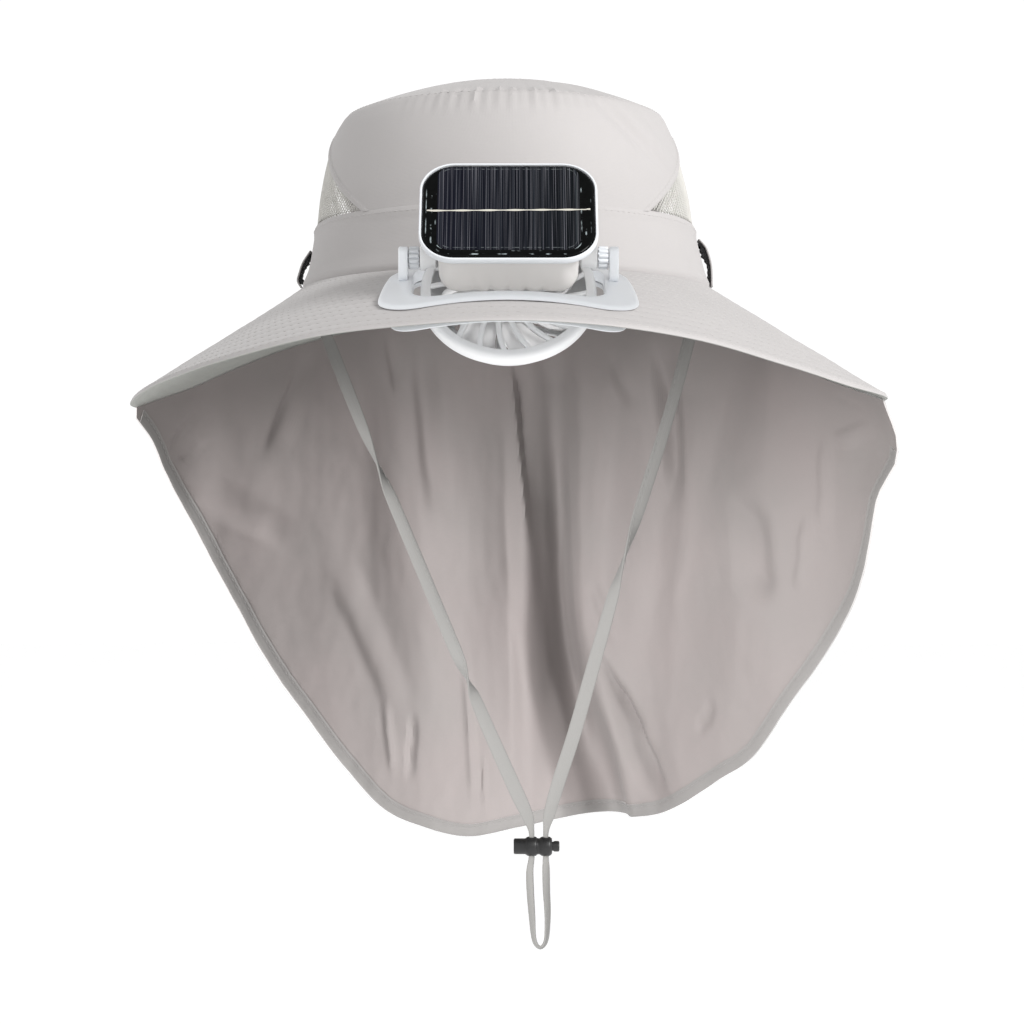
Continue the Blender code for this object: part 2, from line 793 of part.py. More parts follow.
def plate_outlines(half_width, back, front, corner, narrowing):
    """The opening's outline and the plate's own, point for point, in plan."""
    middle = opening_middle()
    half_length = (OPENING_FRONT - OPENING_BACK) / 2
    inner = [(x, y + middle) for x, y in rounded_outline(OPENING_HALF_WIDTH, half_length, OPENING_CORNER)]
    own_middle = -HEAD_HALF_DEPTH - (front + back) / 2
    half = (front - back) / 2
    outer = []
    for x, y in rounded_outline(half_width, half, corner):
        share = (y + half) / (2 * half)
        outer.append((x * (1.0 - narrowing * share * share), y + own_middle))
    return inner, outer


def clip_plate_upper(material):
    """Frame plate on the brim: a collar goes down through the slot, two posts stand on it."""
    narrowing = PLATE_BACK_NARROWING
    inner, outer = plate_outlines(PLATE_HALF_WIDTH, PLATE_BACK, PLATE_FRONT, PLATE_CORNER, narrowing)
    rows = (0.0, COLLAR_WALL, COLLAR_WALL + PLATE_STEP, -PLATE_EDGE, None)
    rings = plate_rings(inner, outer, rows)
    under = SEAT_GAP
    collar = BRIM_CLOTH + SEAT_GAP
    upper = []
    lower = []
    for i, ring in enumerate(rings):
        bottom = -collar if i < 2 else under
        sink = PLATE_EDGE_SINK if i == len(rings) - 1 else 0.0
        top = under + PLATE_THICKNESS - sink
        upper.append([(x, y, brim_height(x, y) + top) for x, y in ring])
        lower.append([(x, y, brim_height(x, y) + bottom) for x, y in ring])
    made = grid_solid("clip_plate_upper", upper, lower, material, ring=True)
    pivot_y = -HEAD_HALF_DEPTH - PIVOT_FORWARD
    for side in (-1.0, 1.0):
        middle = side * (POST_INNER + POST_THICKNESS / 2)
        foot = brim_height(middle, pivot_y) + under + PLATE_THICKNESS / 2
        top = PIVOT_HEIGHT + POST_RISE
        outline = rounded_outline(POST_WIDTH / 2, (top - foot) / 2, POST_WIDTH * 0.28, 4, 1)
        half = POST_THICKNESS / 2
        sections = ((POST_EDGE, -half), (0.0, POST_EDGE - half))
        sections += ((0.0, half - POST_EDGE), (POST_EDGE, half))
        post = helper(block(f"post_{'right' if side > 0 else 'left'}", outline, sections, material))
        post.rotation_euler = (math.radians(90.0), 0.0, math.radians(90.0))
        post.location = (middle, pivot_y, (top + foot) / 2)
        boolean(made, post, "UNION")
        bore_radius = SPIGOT_RADIUS + SEAT_GAP
        bore = ((0.0, -POST_THICKNESS), (bore_radius, -POST_THICKNESS))
        bore += ((bore_radius, POST_THICKNESS), (0.0, POST_THICKNESS))
        hole = helper(turned(f"post_hole_{'right' if side > 0 else 'left'}", bore, material, 16))
        hole.rotation_euler = (0.0, math.radians(90.0), 0.0)
        hole.location = (middle, pivot_y, PIVOT_HEIGHT)
        boolean(made, hole, "DIFFERENCE")
    return made


def clip_plate_lower(material):
    """Plate under the brim, with a lip turned down round its outer edge."""
    inner, outer = plate_outlines(LOWER_HALF_WIDTH, PLATE_BACK, LOWER_FRONT, LOWER_CORNER, 0.0)
    top = -BRIM_CLOTH - LOWER_GAP
    rows = (0.0, COLLAR_WALL, -LIP_WALL - PLATE_STEP, -LIP_WALL, None)
    rings = plate_rings(inner, outer, rows)
    upper = []
    lower = []
    for i, ring in enumerate(rings):
        bottom = top - (LIP_DEPTH if i > 2 else PLATE_THICKNESS)
        upper.append([(x, y, brim_height(x, y) + top) for x, y in ring])
        lower.append([(x, y, brim_height(x, y) + bottom) for x, y in ring])
    return grid_solid("clip_plate_lower", upper, lower, material, ring=True)


# Fan, in its own frame

def spoke_turns():
    """Column edges round the cage: each spoke's two edges."""
    pitch = 360.0 / SPOKE_COUNT
    columns = []
    for i in range(SPOKE_COUNT):
        columns.append((i * pitch, -1.0))
        columns.append((i * pitch, 1.0))
    return columns


def cage_place(column, radius, outer_radius):
    """Plan point of a column at a radius, where spokes keep their width and swirl inwards."""
    turn, edge = column
    swirl = SPOKE_SWIRL * (1.0 - min(radius / outer_radius, 1.0))
    half = math.degrees(SPOKE_WIDTH / 2 / max(radius, CAGE_HUB_RADIUS * 0.5))
    angle = math.radians(turn + edge * half + swirl - 90.0)
    return (radius * math.cos(angle), radius * math.sin(angle))


def fan_cage_front(material):
    """Rim, spokes and hub plate, with a boss at each side on the pivot's axis."""
    inside = CAGE_RADIUS - CAGE_RIM_WIDTH
    wall = CAGE_RADIUS - CAGE_WALL
    radii = (0.0, CAGE_HUB_RADIUS, inside, wall - PLATE_STEP, wall, CAGE_RADIUS)
    upper = []
    lower = []
    for i, radius in enumerate(radii):
        top = -CAGE_EDGE if i == len(radii) - 1 else 0.0
        bottom = -CAGE_RIM_DEPTH if radius >= wall else -CAGE_WALL
        row = [cage_place(column, radius, CAGE_RADIUS) for column in spoke_turns()]
        upper.append([(x, y, top) for x, y in row])
        lower.append([(x, y, bottom) for x, y in row])

    def is_open(column, row):
        return row == 1 and column % 2 != 0

    made = grid_solid("fan_cage_front", upper, lower, material, ring=True, is_open=is_open)
    made.location = (0.0, -CAGE_CENTRE_DOWN, 0.0)
    for side in (-1.0, 1.0):
        name = f"boss_{'right' if side > 0 else 'left'}"
        profile = ((0.0, BOSS_INNER), (BOSS_RADIUS, BOSS_INNER))
        profile += ((BOSS_RADIUS, BOSS_OUTER), (0.0, BOSS_OUTER))
        boss = helper(turned(name, profile, material, 20))
        boss.rotation_euler = (0.0, side * math.radians(90.0), 0.0)
        boolean(made, boss, "UNION")
    return made


def back_profile():
    """Radius and depth of the back grille's outside, from its rim to its middle."""
    rim = CAGE_RIM_DEPTH + SEAT_GAP
    side = CAGE_RADIUS - CAGE_BACK_INSET
    return (
        (side, -rim),
        (CAGE_BACK_RADIUS, -CAGE_DEPTH + CAGE_BACK_CURVE),
        (CAGE_BACK_RADIUS - CAGE_RIM_WIDTH, -CAGE_DEPTH),
        (CAGE_HUB_RADIUS * 0.60, -CAGE_DEPTH),
        (0.0, -CAGE_DEPTH),
    )


def fan_cage_back(material):
    profile = back_profile()
    upper = []
    lower = []
    for i, (radius, height) in enumerate(profile):
        row = [cage_place(column, radius, CAGE_RADIUS) for column in spoke_turns()]
        thinner = 1.0 - CAGE_WALL / radius if i < 2 else 1.0
        lift = CAGE_WALL if i > 0 else 0.0
        upper.append([(x, y, height) for x, y in row])
        lower.append([(x * thinner, y * thinner, height + lift) for x, y in row])

    def is_open(column, row):
        return row == 2 and column % 2 != 0

    made = grid_solid("fan_cage_back", upper, lower, material, ring=True, is_open=is_open)
    made.location = (0.0, -CAGE_CENTRE_DOWN, 0.0)
    return made


def fan_motor(material):
    """Motor can behind the hub plate, with its shaft through the impeller."""
    top = -CAGE_WALL - SEAT_GAP
    bottom = top - MOTOR_LENGTH
    tip = bottom - IMPELLER_DEPTH - SHAFT_PROUD
    profile = ((0.0, top), (MOTOR_RADIUS, top), (MOTOR_RADIUS, bottom))
    profile += ((SHAFT_RADIUS, bottom), (SHAFT_RADIUS, tip), (0.0, tip))
    made = turned("fan_motor", profile, material, 20)
    made.location = (0.0, -CAGE_CENTRE_DOWN, 0.0)
    return made


def impeller(material):
    """Hub with a bore for the shaft, and pitched blades."""
    top = -CAGE_WALL - 2 * SEAT_GAP - MOTOR_LENGTH
    bottom = top - IMPELLER_DEPTH
    pitch = 360.0 / BLADE_COUNT
    steps = 4
    turns = []
    for blade in range(BLADE_COUNT):
        for i in range(steps + 1):
            turns.append((blade * pitch + pitch * BLADE_SPAN_SHARE * i / steps, i / steps))
    bore = SHAFT_RADIUS + SEAT_GAP
    radii = (bore, IMPELLER_HUB_RADIUS, IMPELLER_HUB_RADIUS + PLATE_STEP, IMPELLER_RADIUS)
    upper = []
    lower = []
    for row, radius in enumerate(radii):
        high = []
        low = []
        for turn, share in turns:
            angle = math.radians(turn)
            x = radius * math.cos(angle)
            y = radius * math.sin(angle)
            slope = IMPELLER_DEPTH - BLADE_THICKNESS - 2 * BLADE_INSET
            face = top - BLADE_INSET - slope * share
            high.append((x, y, top if row < 2 else face))
            low.append((x, y, bottom if row < 2 else face - BLADE_THICKNESS))
        upper.append(high)
        lower.append(low)

    def is_open(column, row):
        return row > 0 and column % (steps + 1) == steps

    return grid_solid("impeller", upper, lower, material, ring=True, is_open=is_open)


def fan_housing(material):
    """The box between the fan and the panel."""
    half_height = (HOUSING_TOP - HOUSING_BOTTOM) / 2
    outline = rounded_outline(HOUSING_WIDTH / 2, half_height, HOUSING_CORNER, 5, 1)
    top = PANEL_FACE - TRAY_THICKNESS - SEAT_GAP
    sections = ((HOUSING_FOOT_INSET, SEAT_GAP), (0.0, SEAT_GAP + HOUSING_FOOT_HEIGHT), (0.0, top))
    made = block("fan_housing", outline, sections, material)
    made.location = (0.0, (HOUSING_TOP + HOUSING_BOTTOM) / 2, 0.0)
    return made


def panel_tray(material):
    """White tray with a raised rim round the cell."""
    outline = rounded_outline(PANEL_WIDTH / 2, PANEL_HEIGHT / 2, PANEL_CORNER, 6, 1)
    bottom = PANEL_FACE - TRAY_THICKNESS
    sections = ((TRAY_CHAMFER, bottom), (0.0, bottom + TRAY_CHAMFER))
    sections += ((0.0, PANEL_FACE - TRAY_EDGE), (TRAY_EDGE, PANEL_FACE))
    made = block("panel_tray", outline, sections, material)
    recess_x = PANEL_WIDTH / 2 - TRAY_RIM
    recess_y = PANEL_HEIGHT / 2 - TRAY_RIM
    recess = rounded_outline(recess_x, recess_y, PANEL_CORNER - TRAY_RIM, 6, 1)
    floor = PANEL_FACE - CELL_THICKNESS - SEAT_GAP
    above = PANEL_FACE + TRAY_THICKNESS
    cutter = helper(block("recess_cutter", recess, ((0.0, floor), (0.0, above)), material))
    boolean(made, cutter, "DIFFERENCE")
    made.location = (0.0, PANEL_CENTRE_UP, 0.0)
    cutter.location = made.location
    return made, cutter


def solar_panel(material):
    """The dark cell, its top edge bevelled."""
    inset = TRAY_RIM + SEAT_GAP
    outline = rounded_outline(PANEL_WIDTH / 2 - inset, PANEL_HEIGHT / 2 - inset, PANEL_CORNER - inset, 6, 1)
    bottom = PANEL_FACE - CELL_THICKNESS
    sections = ((0.0, bottom), (0.0, PANEL_FACE - CELL_BEVEL), (CELL_BEVEL * 2, PANEL_FACE))
    made = block("solar_panel", outline, sections, material)
    made.location = (0.0, PANEL_CENTRE_UP, 0.0)
    return made


def pivot_drum(name, side, material):
    """Ribbed drum with a spigot that turns in the post's hole."""
    start = BOSS_OUTER + SEAT_GAP
    end = POST_INNER - SEAT_GAP
    tip = POST_INNER + POST_THICKNESS * 0.8
    mesh = bmesh.new()
    count = DRUM_RIB_COUNT * 4
    rings = []
    heights = ((start, True), (end, True), (end, False), (tip, False))
    for height, ribbed in heights:
        ring = []
        for i in range(count):
            angle = 2 * math.pi * i / count
            radius = SPIGOT_RADIUS
            if ribbed:
                radius = DRUM_RADIUS if i % 4 in (0, 1) else DRUM_RADIUS - DRUM_RIB
            ring.append(mesh.verts.new((radius * math.cos(angle), radius * math.sin(angle), height)))
        rings.append(ring)
    for first, second in zip(rings, rings[1:]):
        for i in range(count):
            j = (i + 1) % count
            mesh.faces.new((first[i], first[j], second[j], second[i]))
    mesh.faces.new(rings[0][::-1])
    mesh.faces.new(rings[-1])
    made = keep(name, mesh, material, 25.0)
    made.rotation_euler = (0.0, side * math.radians(90.0), 0.0)
    return made


# Cord lock, along +X

def lock_barrel(material):
    """Round body with two waists, a blind bore, and two holes across it for the strap."""
    half = LOCK_RIB_HALF
    profile = [(0.0, 0.0), (BARREL_RADIUS - LOCK_CHAMFER, 0.0), (BARREL_RADIUS, LOCK_CHAMFER)]
    for place in STRAP_HOLES:
        profile.append((BARREL_RADIUS, place - half - LOCK_CHAMFER))
        profile.append((BARREL_RIB_RADIUS, place - half + LOCK_RIB_EDGE))
        profile.append((BARREL_RIB_RADIUS, place + half - LOCK_RIB_EDGE))
        profile.append((BARREL_RADIUS, place + half + LOCK_CHAMFER))
    profile[-1] = (BARREL_RADIUS, BARREL_LENGTH)
    profile += [(BORE_RADIUS, BARREL_LENGTH), (BORE_RADIUS, BARREL_FLOOR), (0.0, BARREL_FLOOR)]
    made = turned("lock_barrel", profile, material, 16)
    cut_strap_holes(made, "barrel", 0.0, material)
    return made


def cut_strap_holes(made, label, extra, material):
    """Cuts the strap's two holes across a piece, longer by extra on the pressed side."""
    for i, place in enumerate(STRAP_HOLES):
        outline = rounded_outline((HOLE_LENGTH + extra) / 2, HOLE_WIDTH / 2, HOLE_WIDTH * 0.3, 2, 1)
        sections = ((0.0, -2 * BARREL_RADIUS), (0.0, 2 * BARREL_RADIUS))
        cutter = helper(block(f"{label}_hole_{i + 1}", outline, sections, material))
        origin = Vector(LOCK_CENTRE)
        cutter.location = origin + Vector((place + extra / 2, 0.0, 0.0))
        boolean(made, cutter, "DIFFERENCE")


def lock_plunger(material):
    """Sprung rod in the barrel, with slots long enough for its travel."""
    start = BARREL_FLOOR + PRESS_TRAVEL + SEAT_GAP
    end = BARREL_LENGTH + PLUNGER_PROUD
    profile = ((0.0, start), (PLUNGER_RADIUS, start), (PLUNGER_RADIUS, end - LOCK_CHAMFER))
    profile += ((PLUNGER_RADIUS * 0.72, end), (0.0, end))
    made = turned("lock_plunger", profile, material, 16)
    cut_strap_holes(made, "plunger", PRESS_TRAVEL, material)
    return made


# Chin strap

def chin_strap(material):
    """A slim tube on a smooth curve through the strap's route, its points closest in the bends."""
    table = []
    travelled = 0.0
    previous = Vector(STRAP_ROUTE[0])
    for place in STRAP_ROUTE:
        travelled += (Vector(place) - previous).length
        previous = Vector(place)
        table.append((travelled, *place))
    last = len(table) - 1
    data = bpy.data.curves.new("chin_strap", "CURVE")
    data.dimensions = "3D"
    data.bevel_depth = STRAP_TUBE_RADIUS
    data.bevel_resolution = 2
    data.use_fill_caps = True
    spline = data.splines.new("POLY")
    spline.points.add(STRAP_POINTS - 1)
    for i, point in enumerate(spline.points):
        row = last * i / (STRAP_POINTS - 1)
        before = min(int(row), last - 1)
        key = table[before][0] + (table[before + 1][0] - table[before][0]) * (row - before)
        place = [smooth_value(table, key, column) for column in (1, 2, 3)]
        point.co = (*place, 1.0)
    data.materials.append(material)
    made = bpy.data.objects.new("chin_strap", data)
    bpy.context.scene.collection.objects.link(made)
    return made


def axis_empty(name, location, rotation, parent=None):
    made = bpy.data.objects.new(name, None)
    made.location = location
    made.rotation_euler = rotation
    made.parent = parent
    bpy.context.scene.collection.objects.link(made)
    return made


def build_cloth(cloth, net, elastic):
    crown_top(cloth)
    crown_panel("crown_front_panel", 0.0, cloth)
    crown_panel("crown_back_panel", 180.0, cloth)
    mesh_vent("mesh_vent_left", -90.0, net)
    mesh_vent("mesh_vent_right", 90.0, net)
    crown_band(cloth)
    brim(cloth)
    neck_flap(cloth)
    for side, word in ((-1.0, "left"), (1.0, "right")):
        side_tab(f"side_tab_{word}", side, cloth)
        side_elastic(f"side_elastic_{word}", side, elastic)
    chin_strap(cloth)


def build_fan(white, blade, metal, cell):
    pivot = (0.0, -HEAD_HALF_DEPTH - PIVOT_FORWARD, PIVOT_HEIGHT)
    tilt = (math.radians(90.0 - PANEL_ELEVATION), 0.0, 0.0)
    fan_axis = axis_empty("fan_tilt_axis", pivot, tilt)
    spin_axis = axis_empty("impeller_axis", (0.0, -CAGE_CENTRE_DOWN, 0.0), (0.0, 0.0, 0.0), fan_axis)
    cage = fan_cage_front(white)
    tray, recess_cutter = panel_tray(white)
    riding = [cage, tray, recess_cutter, fan_cage_back(white), fan_motor(metal), fan_housing(white)]
    riding += [solar_panel(cell)]
    riding += [modifier.object for modifier in cage.modifiers]
    for side, word in ((-1.0, "left"), (1.0, "right")):
        riding.append(pivot_drum(f"pivot_drum_{word}", side, white))
    for piece in riding:
        piece.parent = fan_axis
    impeller(blade).parent = spin_axis


def build_lock(plastic):
    centre = Vector(LOCK_CENTRE)
    along_x = (0.0, math.radians(90.0), 0.0)
    for piece in (lock_barrel(plastic), lock_plunger(plastic)):
        piece.location = centre
        piece.rotation_euler = along_x


def main():
    clear_scene()
    cloth = finish("warm_grey_cloth", (0.55, 0.52, 0.50), 0.85)
    net = finish("net_cloth", (0.60, 0.58, 0.55), 0.85)
    elastic = finish("black_elastic", (0.02, 0.02, 0.02), 0.8)
    white = finish("white_plastic", (0.82, 0.83, 0.85), 0.35)
    blade = finish("grey_blade_plastic", (0.62, 0.62, 0.63), 0.4)
    metal = finish("motor_steel", (0.55, 0.55, 0.56), 0.35, 1.0)
    cell = finish("solar_glass", (0.01, 0.012, 0.02), 0.08)
    black = finish("black_plastic", (0.015, 0.015, 0.016), 0.5)
    build_cloth(cloth, net, elastic)
    clip_plate_upper(white)
    clip_plate_lower(white)
    build_fan(white, blade, metal, cell)
    build_lock(black)


main()
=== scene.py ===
# %% [markdown]
# # A sun hat with a solar fan
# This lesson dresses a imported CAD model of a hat: cloth with real folds and seams, a net, a
# twisted tape, and a small white fan with its solar panel. The CAD is the frame. Each visual
# piece here takes the place of a CAD solid and moves with the same body.

# %% Load the frame
import json
import math

import bmesh
import bpy
import numpy as np
from mathutils import Matrix, Vector, noise

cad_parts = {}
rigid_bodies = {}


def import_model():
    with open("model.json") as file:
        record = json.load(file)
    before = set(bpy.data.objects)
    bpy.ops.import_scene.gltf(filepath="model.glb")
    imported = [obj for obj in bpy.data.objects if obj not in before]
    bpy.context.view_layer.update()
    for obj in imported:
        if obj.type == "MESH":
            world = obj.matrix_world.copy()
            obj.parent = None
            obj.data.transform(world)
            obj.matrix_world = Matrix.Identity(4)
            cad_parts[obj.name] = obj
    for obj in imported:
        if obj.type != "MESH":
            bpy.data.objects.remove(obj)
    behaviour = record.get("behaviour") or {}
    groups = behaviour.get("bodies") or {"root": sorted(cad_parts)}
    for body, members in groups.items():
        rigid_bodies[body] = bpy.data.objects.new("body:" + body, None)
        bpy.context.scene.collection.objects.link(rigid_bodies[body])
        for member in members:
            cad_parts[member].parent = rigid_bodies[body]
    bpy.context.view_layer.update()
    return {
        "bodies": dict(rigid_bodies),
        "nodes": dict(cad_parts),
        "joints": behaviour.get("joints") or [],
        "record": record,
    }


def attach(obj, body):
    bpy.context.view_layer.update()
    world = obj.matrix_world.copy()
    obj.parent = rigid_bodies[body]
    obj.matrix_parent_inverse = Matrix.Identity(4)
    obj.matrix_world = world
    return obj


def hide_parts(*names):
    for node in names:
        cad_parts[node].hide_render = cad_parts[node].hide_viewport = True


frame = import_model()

# %% [markdown]
# ## The camera
# The photograph looks straight at the hat from about a metre away, level, and a little below
# the brim, so the underside of the brim and the inside of the flap show. A long lens with
# no tilt gives the same picture: one millimetre at the crown's middle is 2.3 pixels.

# %% The camera
PICTURE_SIZE = 1024
FOCAL_PIXELS = 2415.0
CAMERA_PLACE = (0.0013, -1.050, -0.0965)

scene = bpy.context.scene
camera_data = bpy.data.cameras.new("photo_camera")
camera_data.sensor_width = 36.0
camera_data.lens = FOCAL_PIXELS / PICTURE_SIZE * camera_data.sensor_width
camera_data.clip_end = 60.0
photo_camera = bpy.data.objects.new("photo_camera", camera_data)
photo_camera.location = CAMERA_PLACE
photo_camera.rotation_euler = (math.radians(90.0), 0.0, 0.0)
scene.collection.objects.link(photo_camera)
scene.camera = photo_camera
print("lens", round(camera_data.lens, 1), "mm")

# %% [markdown]
# ## Small helpers
# A short table of values becomes a smooth curve with a Hermite spline, so a few rows
# describe a whole seam. A wall of cloth is two grids of points, outside and inside, closed at
# its rims. Each wall also gets a flat map in metres, which is what the cloth was before it was
# sewn, so that the weave keeps one scale on every piece.

# %% Curves through tables
def smooth_value(table, key, column):
    """A column's value at key, on a smooth curve through the table's rows."""
    if key <= table[0][0]:
        return table[0][column]
    if key >= table[-1][0]:
        return table[-1][column]
    after = next(i for i, row in enumerate(table) if row[0] >= key)
    before = after - 1
    span = table[after][0] - table[before][0]
    share = (key - table[before][0]) / span

    def slope(i):
        low = max(i - 1, 0)
        high = min(i + 1, len(table) - 1)
        return (table[high][column] - table[low][column]) / (table[high][0] - table[low][0])

    cube = share ** 3
    square = share ** 2
    return (
        table[before][column] * (2 * cube - 3 * square + 1)
        + table[after][column] * (3 * square - 2 * cube)
        + slope(before) * span * (cube - 2 * square + share)
        + slope(after) * span * (cube - square)
    )


def bump(distance):
    """A smooth hump, 1 at 0 and 0 beyond 1."""
    if abs(distance) >= 1.0:
        return 0.0
    return (1.0 - distance ** 2) ** 2


def ripple(x, y, z=0.0):
    """Smooth noise from -1 to 1, the same on every run."""
    return noise.noise(Vector((x, y, z)))


# %% Pieces in the scene
def placed(name, mesh):
    """Puts a bmesh in the scene as an object of its own."""
    data = bpy.data.meshes.new(name)
    mesh.to_mesh(data)
    mesh.free()
    piece = bpy.data.objects.new(name, data)
    scene.collection.objects.link(piece)
    return piece


def show(name, mesh, finishes, angle=40.0, body="hat"):
    """A shaded piece that rides on a body, its edges sharp from an angle on."""
    bmesh.ops.recalc_face_normals(mesh, faces=mesh.faces)
    piece = placed(name, mesh)
    for finish in finishes:
        piece.data.materials.append(finish)
    piece.data.shade_smooth()
    piece.data.set_sharp_from_angle(angle=math.radians(angle))
    if body:
        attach(piece, body)
    return piece


def stands_for(piece, node):
    """Hides the CAD solid that the piece takes the place of."""
    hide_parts(node)
    return piece


# %% Surfaces and their flat map
def steps(first, last, count):
    """Evenly spaced values, both ends among them."""
    return [first + (last - first) * i / count for i in range(count + 1)]


def surface_grid(point_at, columns, rows):
    """A surface's points, row by row."""
    return np.array([[point_at(u, v) for u in columns] for v in rows])


def normals_of(grid, closed=False):
    """The surface's normal at each point of a grid."""
    if closed:
        padded = np.concatenate([grid[:, -2:-1], grid, grid[:, 1:2]], axis=1)
        across = padded[:, 2:] - padded[:, :-2]
    else:
        across = np.gradient(grid, axis=1)
    down = np.gradient(grid, axis=0)
    normal = np.cross(across, down)
    length = np.linalg.norm(normal, axis=2, keepdims=True)
    return normal / np.maximum(length, 1e-12)


def lengths_along(line):
    """How far along a line of points each of them lies."""
    cuts = np.linalg.norm(np.diff(line, axis=0), axis=1)
    return np.concatenate([[0.0], np.cumsum(cuts)])


def flat_map(grid):
    """Where each point lay when the cloth was flat, in metres."""
    along = lengths_along(grid[grid.shape[0] // 2])
    down = lengths_along(grid[:, grid.shape[1] // 2])
    return np.stack(np.meshgrid(along, down), axis=2)


# %% Walls of cloth
def wall(name, outside, inside, finishes, closed=False, angle=40.0, body="hat"):
    """Closes the space between two grids. In a closed ring the last column repeats the first."""
    rows, columns = outside.shape[:2]
    count = rows * columns
    points = np.concatenate([outside.reshape(-1, 3), inside.reshape(-1, 3)])
    maps = np.tile(flat_map(outside).reshape(-1, 2), (2, 1))
    mesh = bmesh.new()
    spots = [mesh.verts.new(point) for point in points]
    layer = mesh.loops.layers.uv.new("cloth")

    def face(corners, slot):
        made = mesh.faces.new([spots[i] for i in corners])
        made.material_index = slot
        for loop, i in zip(made.loops, corners):
            loop[layer].uv = maps[i]

    inner = len(finishes) - 1
    for r in range(rows - 1):
        for c in range(columns - 1):
            a = r * columns + c
            b = a + columns
            face((a, a + 1, b + 1, b), 0)
            face((b + count, b + 1 + count, a + 1 + count, a + count), inner)
    for c in range(columns - 1):
        for a in (c, (rows - 1) * columns + c):
            face((a, a + 1, a + 1 + count, a + count), 0)
    if not closed:
        for r in range(rows - 1):
            for a in (r * columns, r * columns + columns - 1):
                face((a, a + columns, a + columns + count, a + count), 0)
    bmesh.ops.remove_doubles(mesh, verts=mesh.verts, dist=1e-7)
    return show(name, mesh, finishes, angle, body)


# %% [markdown]
# Everything that isn't a wall here is a row of rings: tape, threads, spokes, plates, posts and
# box. So two helpers serve them all. One sets the corners of a ring round an oval, the other
# puts the faces between one ring and the next. A row of rings is either capped at its two ends
# or led round to its own start, as in a frame.

# %% Rings and what joins them
def oval_ring(mesh, centre, wide_way, thin_way, half_wide, half_thin, count=12, powers=(1.0, 1.0)):
    """Corners round an oval, which powers below 1 make squarer."""
    ring = []
    for i in range(count):
        turn = 2 * math.pi * i / count
        wide = math.copysign(abs(math.cos(turn)) ** powers[0], math.cos(turn)) * half_wide
        thin = math.copysign(abs(math.sin(turn)) ** powers[1], math.sin(turn)) * half_thin
        ring.append(mesh.verts.new(centre + wide_way * wide + thin_way * thin))
    return ring


def bridge(mesh, rings, capped=True):
    """Faces between rings, either capped at both ends or led round to the first ring."""
    following = rings[1:] if capped else rings[1:] + rings[:1]
    for first, second in zip(rings, following):
        for i in range(len(first)):
            j = (i + 1) % len(first)
            mesh.faces.new((first[i], first[j], second[j], second[i]))
    if capped:
        mesh.faces.new(rings[0][::-1])
        mesh.faces.new(rings[-1])
    return mesh


# %% [markdown]
# ## Finishes
# The hat is sewn from a light polyester cloth with a faint sheen. Its weave is far finer than
# a pixel, so it is a small bump that breaks up the highlights, with a slow drift in colour
# that real cloth has. The hat's thread is a little lighter than its cloth; the flap's and the
# strap's is darker, as those stand in the shade of the brim.

# %% Shader helpers
def new_finish(name):
    """A new material with its node tree and its shader."""
    material = bpy.data.materials.new(name)
    material.use_nodes = True
    tree = material.node_tree
    return material, tree, tree.nodes["Principled BSDF"]


def value_of(tree, operation, *inputs):
    """A Math node's output, its inputs being numbers or other outputs."""
    node = tree.nodes.new("ShaderNodeMath")
    node.operation = operation
    for i, item in enumerate(inputs):
        if isinstance(item, (int, float)):
            node.inputs[i].default_value = item
        else:
            tree.links.new(item, node.inputs[i])
    return node.outputs[0]


def cloud(tree, scale, detail=2.0, source="Object", stretch=(1.0, 1.0, 1.0)):
    """Noise from 0 to 1 in object space or on the flat map."""
    place = tree.nodes.new("ShaderNodeTexCoord")
    stretched = tree.nodes.new("ShaderNodeMapping")
    stretched.inputs["Scale"].default_value = stretch
    tree.links.new(place.outputs[source], stretched.inputs["Vector"])
    texture = tree.nodes.new("ShaderNodeTexNoise")
    texture.inputs["Scale"].default_value = scale
    texture.inputs["Detail"].default_value = detail
    tree.links.new(stretched.outputs["Vector"], texture.inputs["Vector"])
    return texture.outputs["Fac"]


def blend_colours(tree, factor, first, second):
    """Two colours or outputs, mixed by a number or an output."""
    node = tree.nodes.new("ShaderNodeMix")
    node.data_type = "RGBA"
    for place, item in ((0, factor), (6, first), (7, second)):
        if isinstance(item, tuple):
            node.inputs[place].default_value = (*item, 1.0)
        elif isinstance(item, float):
            node.inputs[place].default_value = item
        else:
            tree.links.new(item, node.inputs[place])
    return node.outputs[2]


# %% Levels, bumps and threads
def set_levels(shader, **levels):
    """Sets plain numbers on a shader's own sockets."""
    for name, level in levels.items():
        shader.inputs[name.replace("_", " ")].default_value = level


def raise_bump(tree, shader, height, distance, strength=1.0, after=None):
    """Lays a bump of some distance in metres on the shader, over an earlier one."""
    node = tree.nodes.new("ShaderNodeBump")
    node.inputs["Distance"].default_value = distance
    node.inputs["Strength"].default_value = strength
    tree.links.new(height, node.inputs["Height"])
    if after is not None:
        tree.links.new(after, node.inputs["Normal"])
    tree.links.new(node.outputs["Normal"], shader.inputs["Normal"])
    return node.outputs["Normal"]


def flat_axes(tree):
    """The two axes of the flat map, in metres."""
    place = tree.nodes.new("ShaderNodeTexCoord")
    parts = tree.nodes.new("ShaderNodeSeparateXYZ")
    tree.links.new(place.outputs["UV"], parts.inputs["Vector"])
    return parts.outputs["X"], parts.outputs["Y"]


def threads(tree, along, pitch):
    """A rounded ridge every pitch metres, from 0 to 1."""
    turn = value_of(tree, "MULTIPLY", along, 2 * math.pi / pitch)
    return value_of(tree, "MULTIPLY_ADD", value_of(tree, "SINE", turn), 0.5, 0.5)


# %% The cloth
WEAVE_PITCH = 0.00055


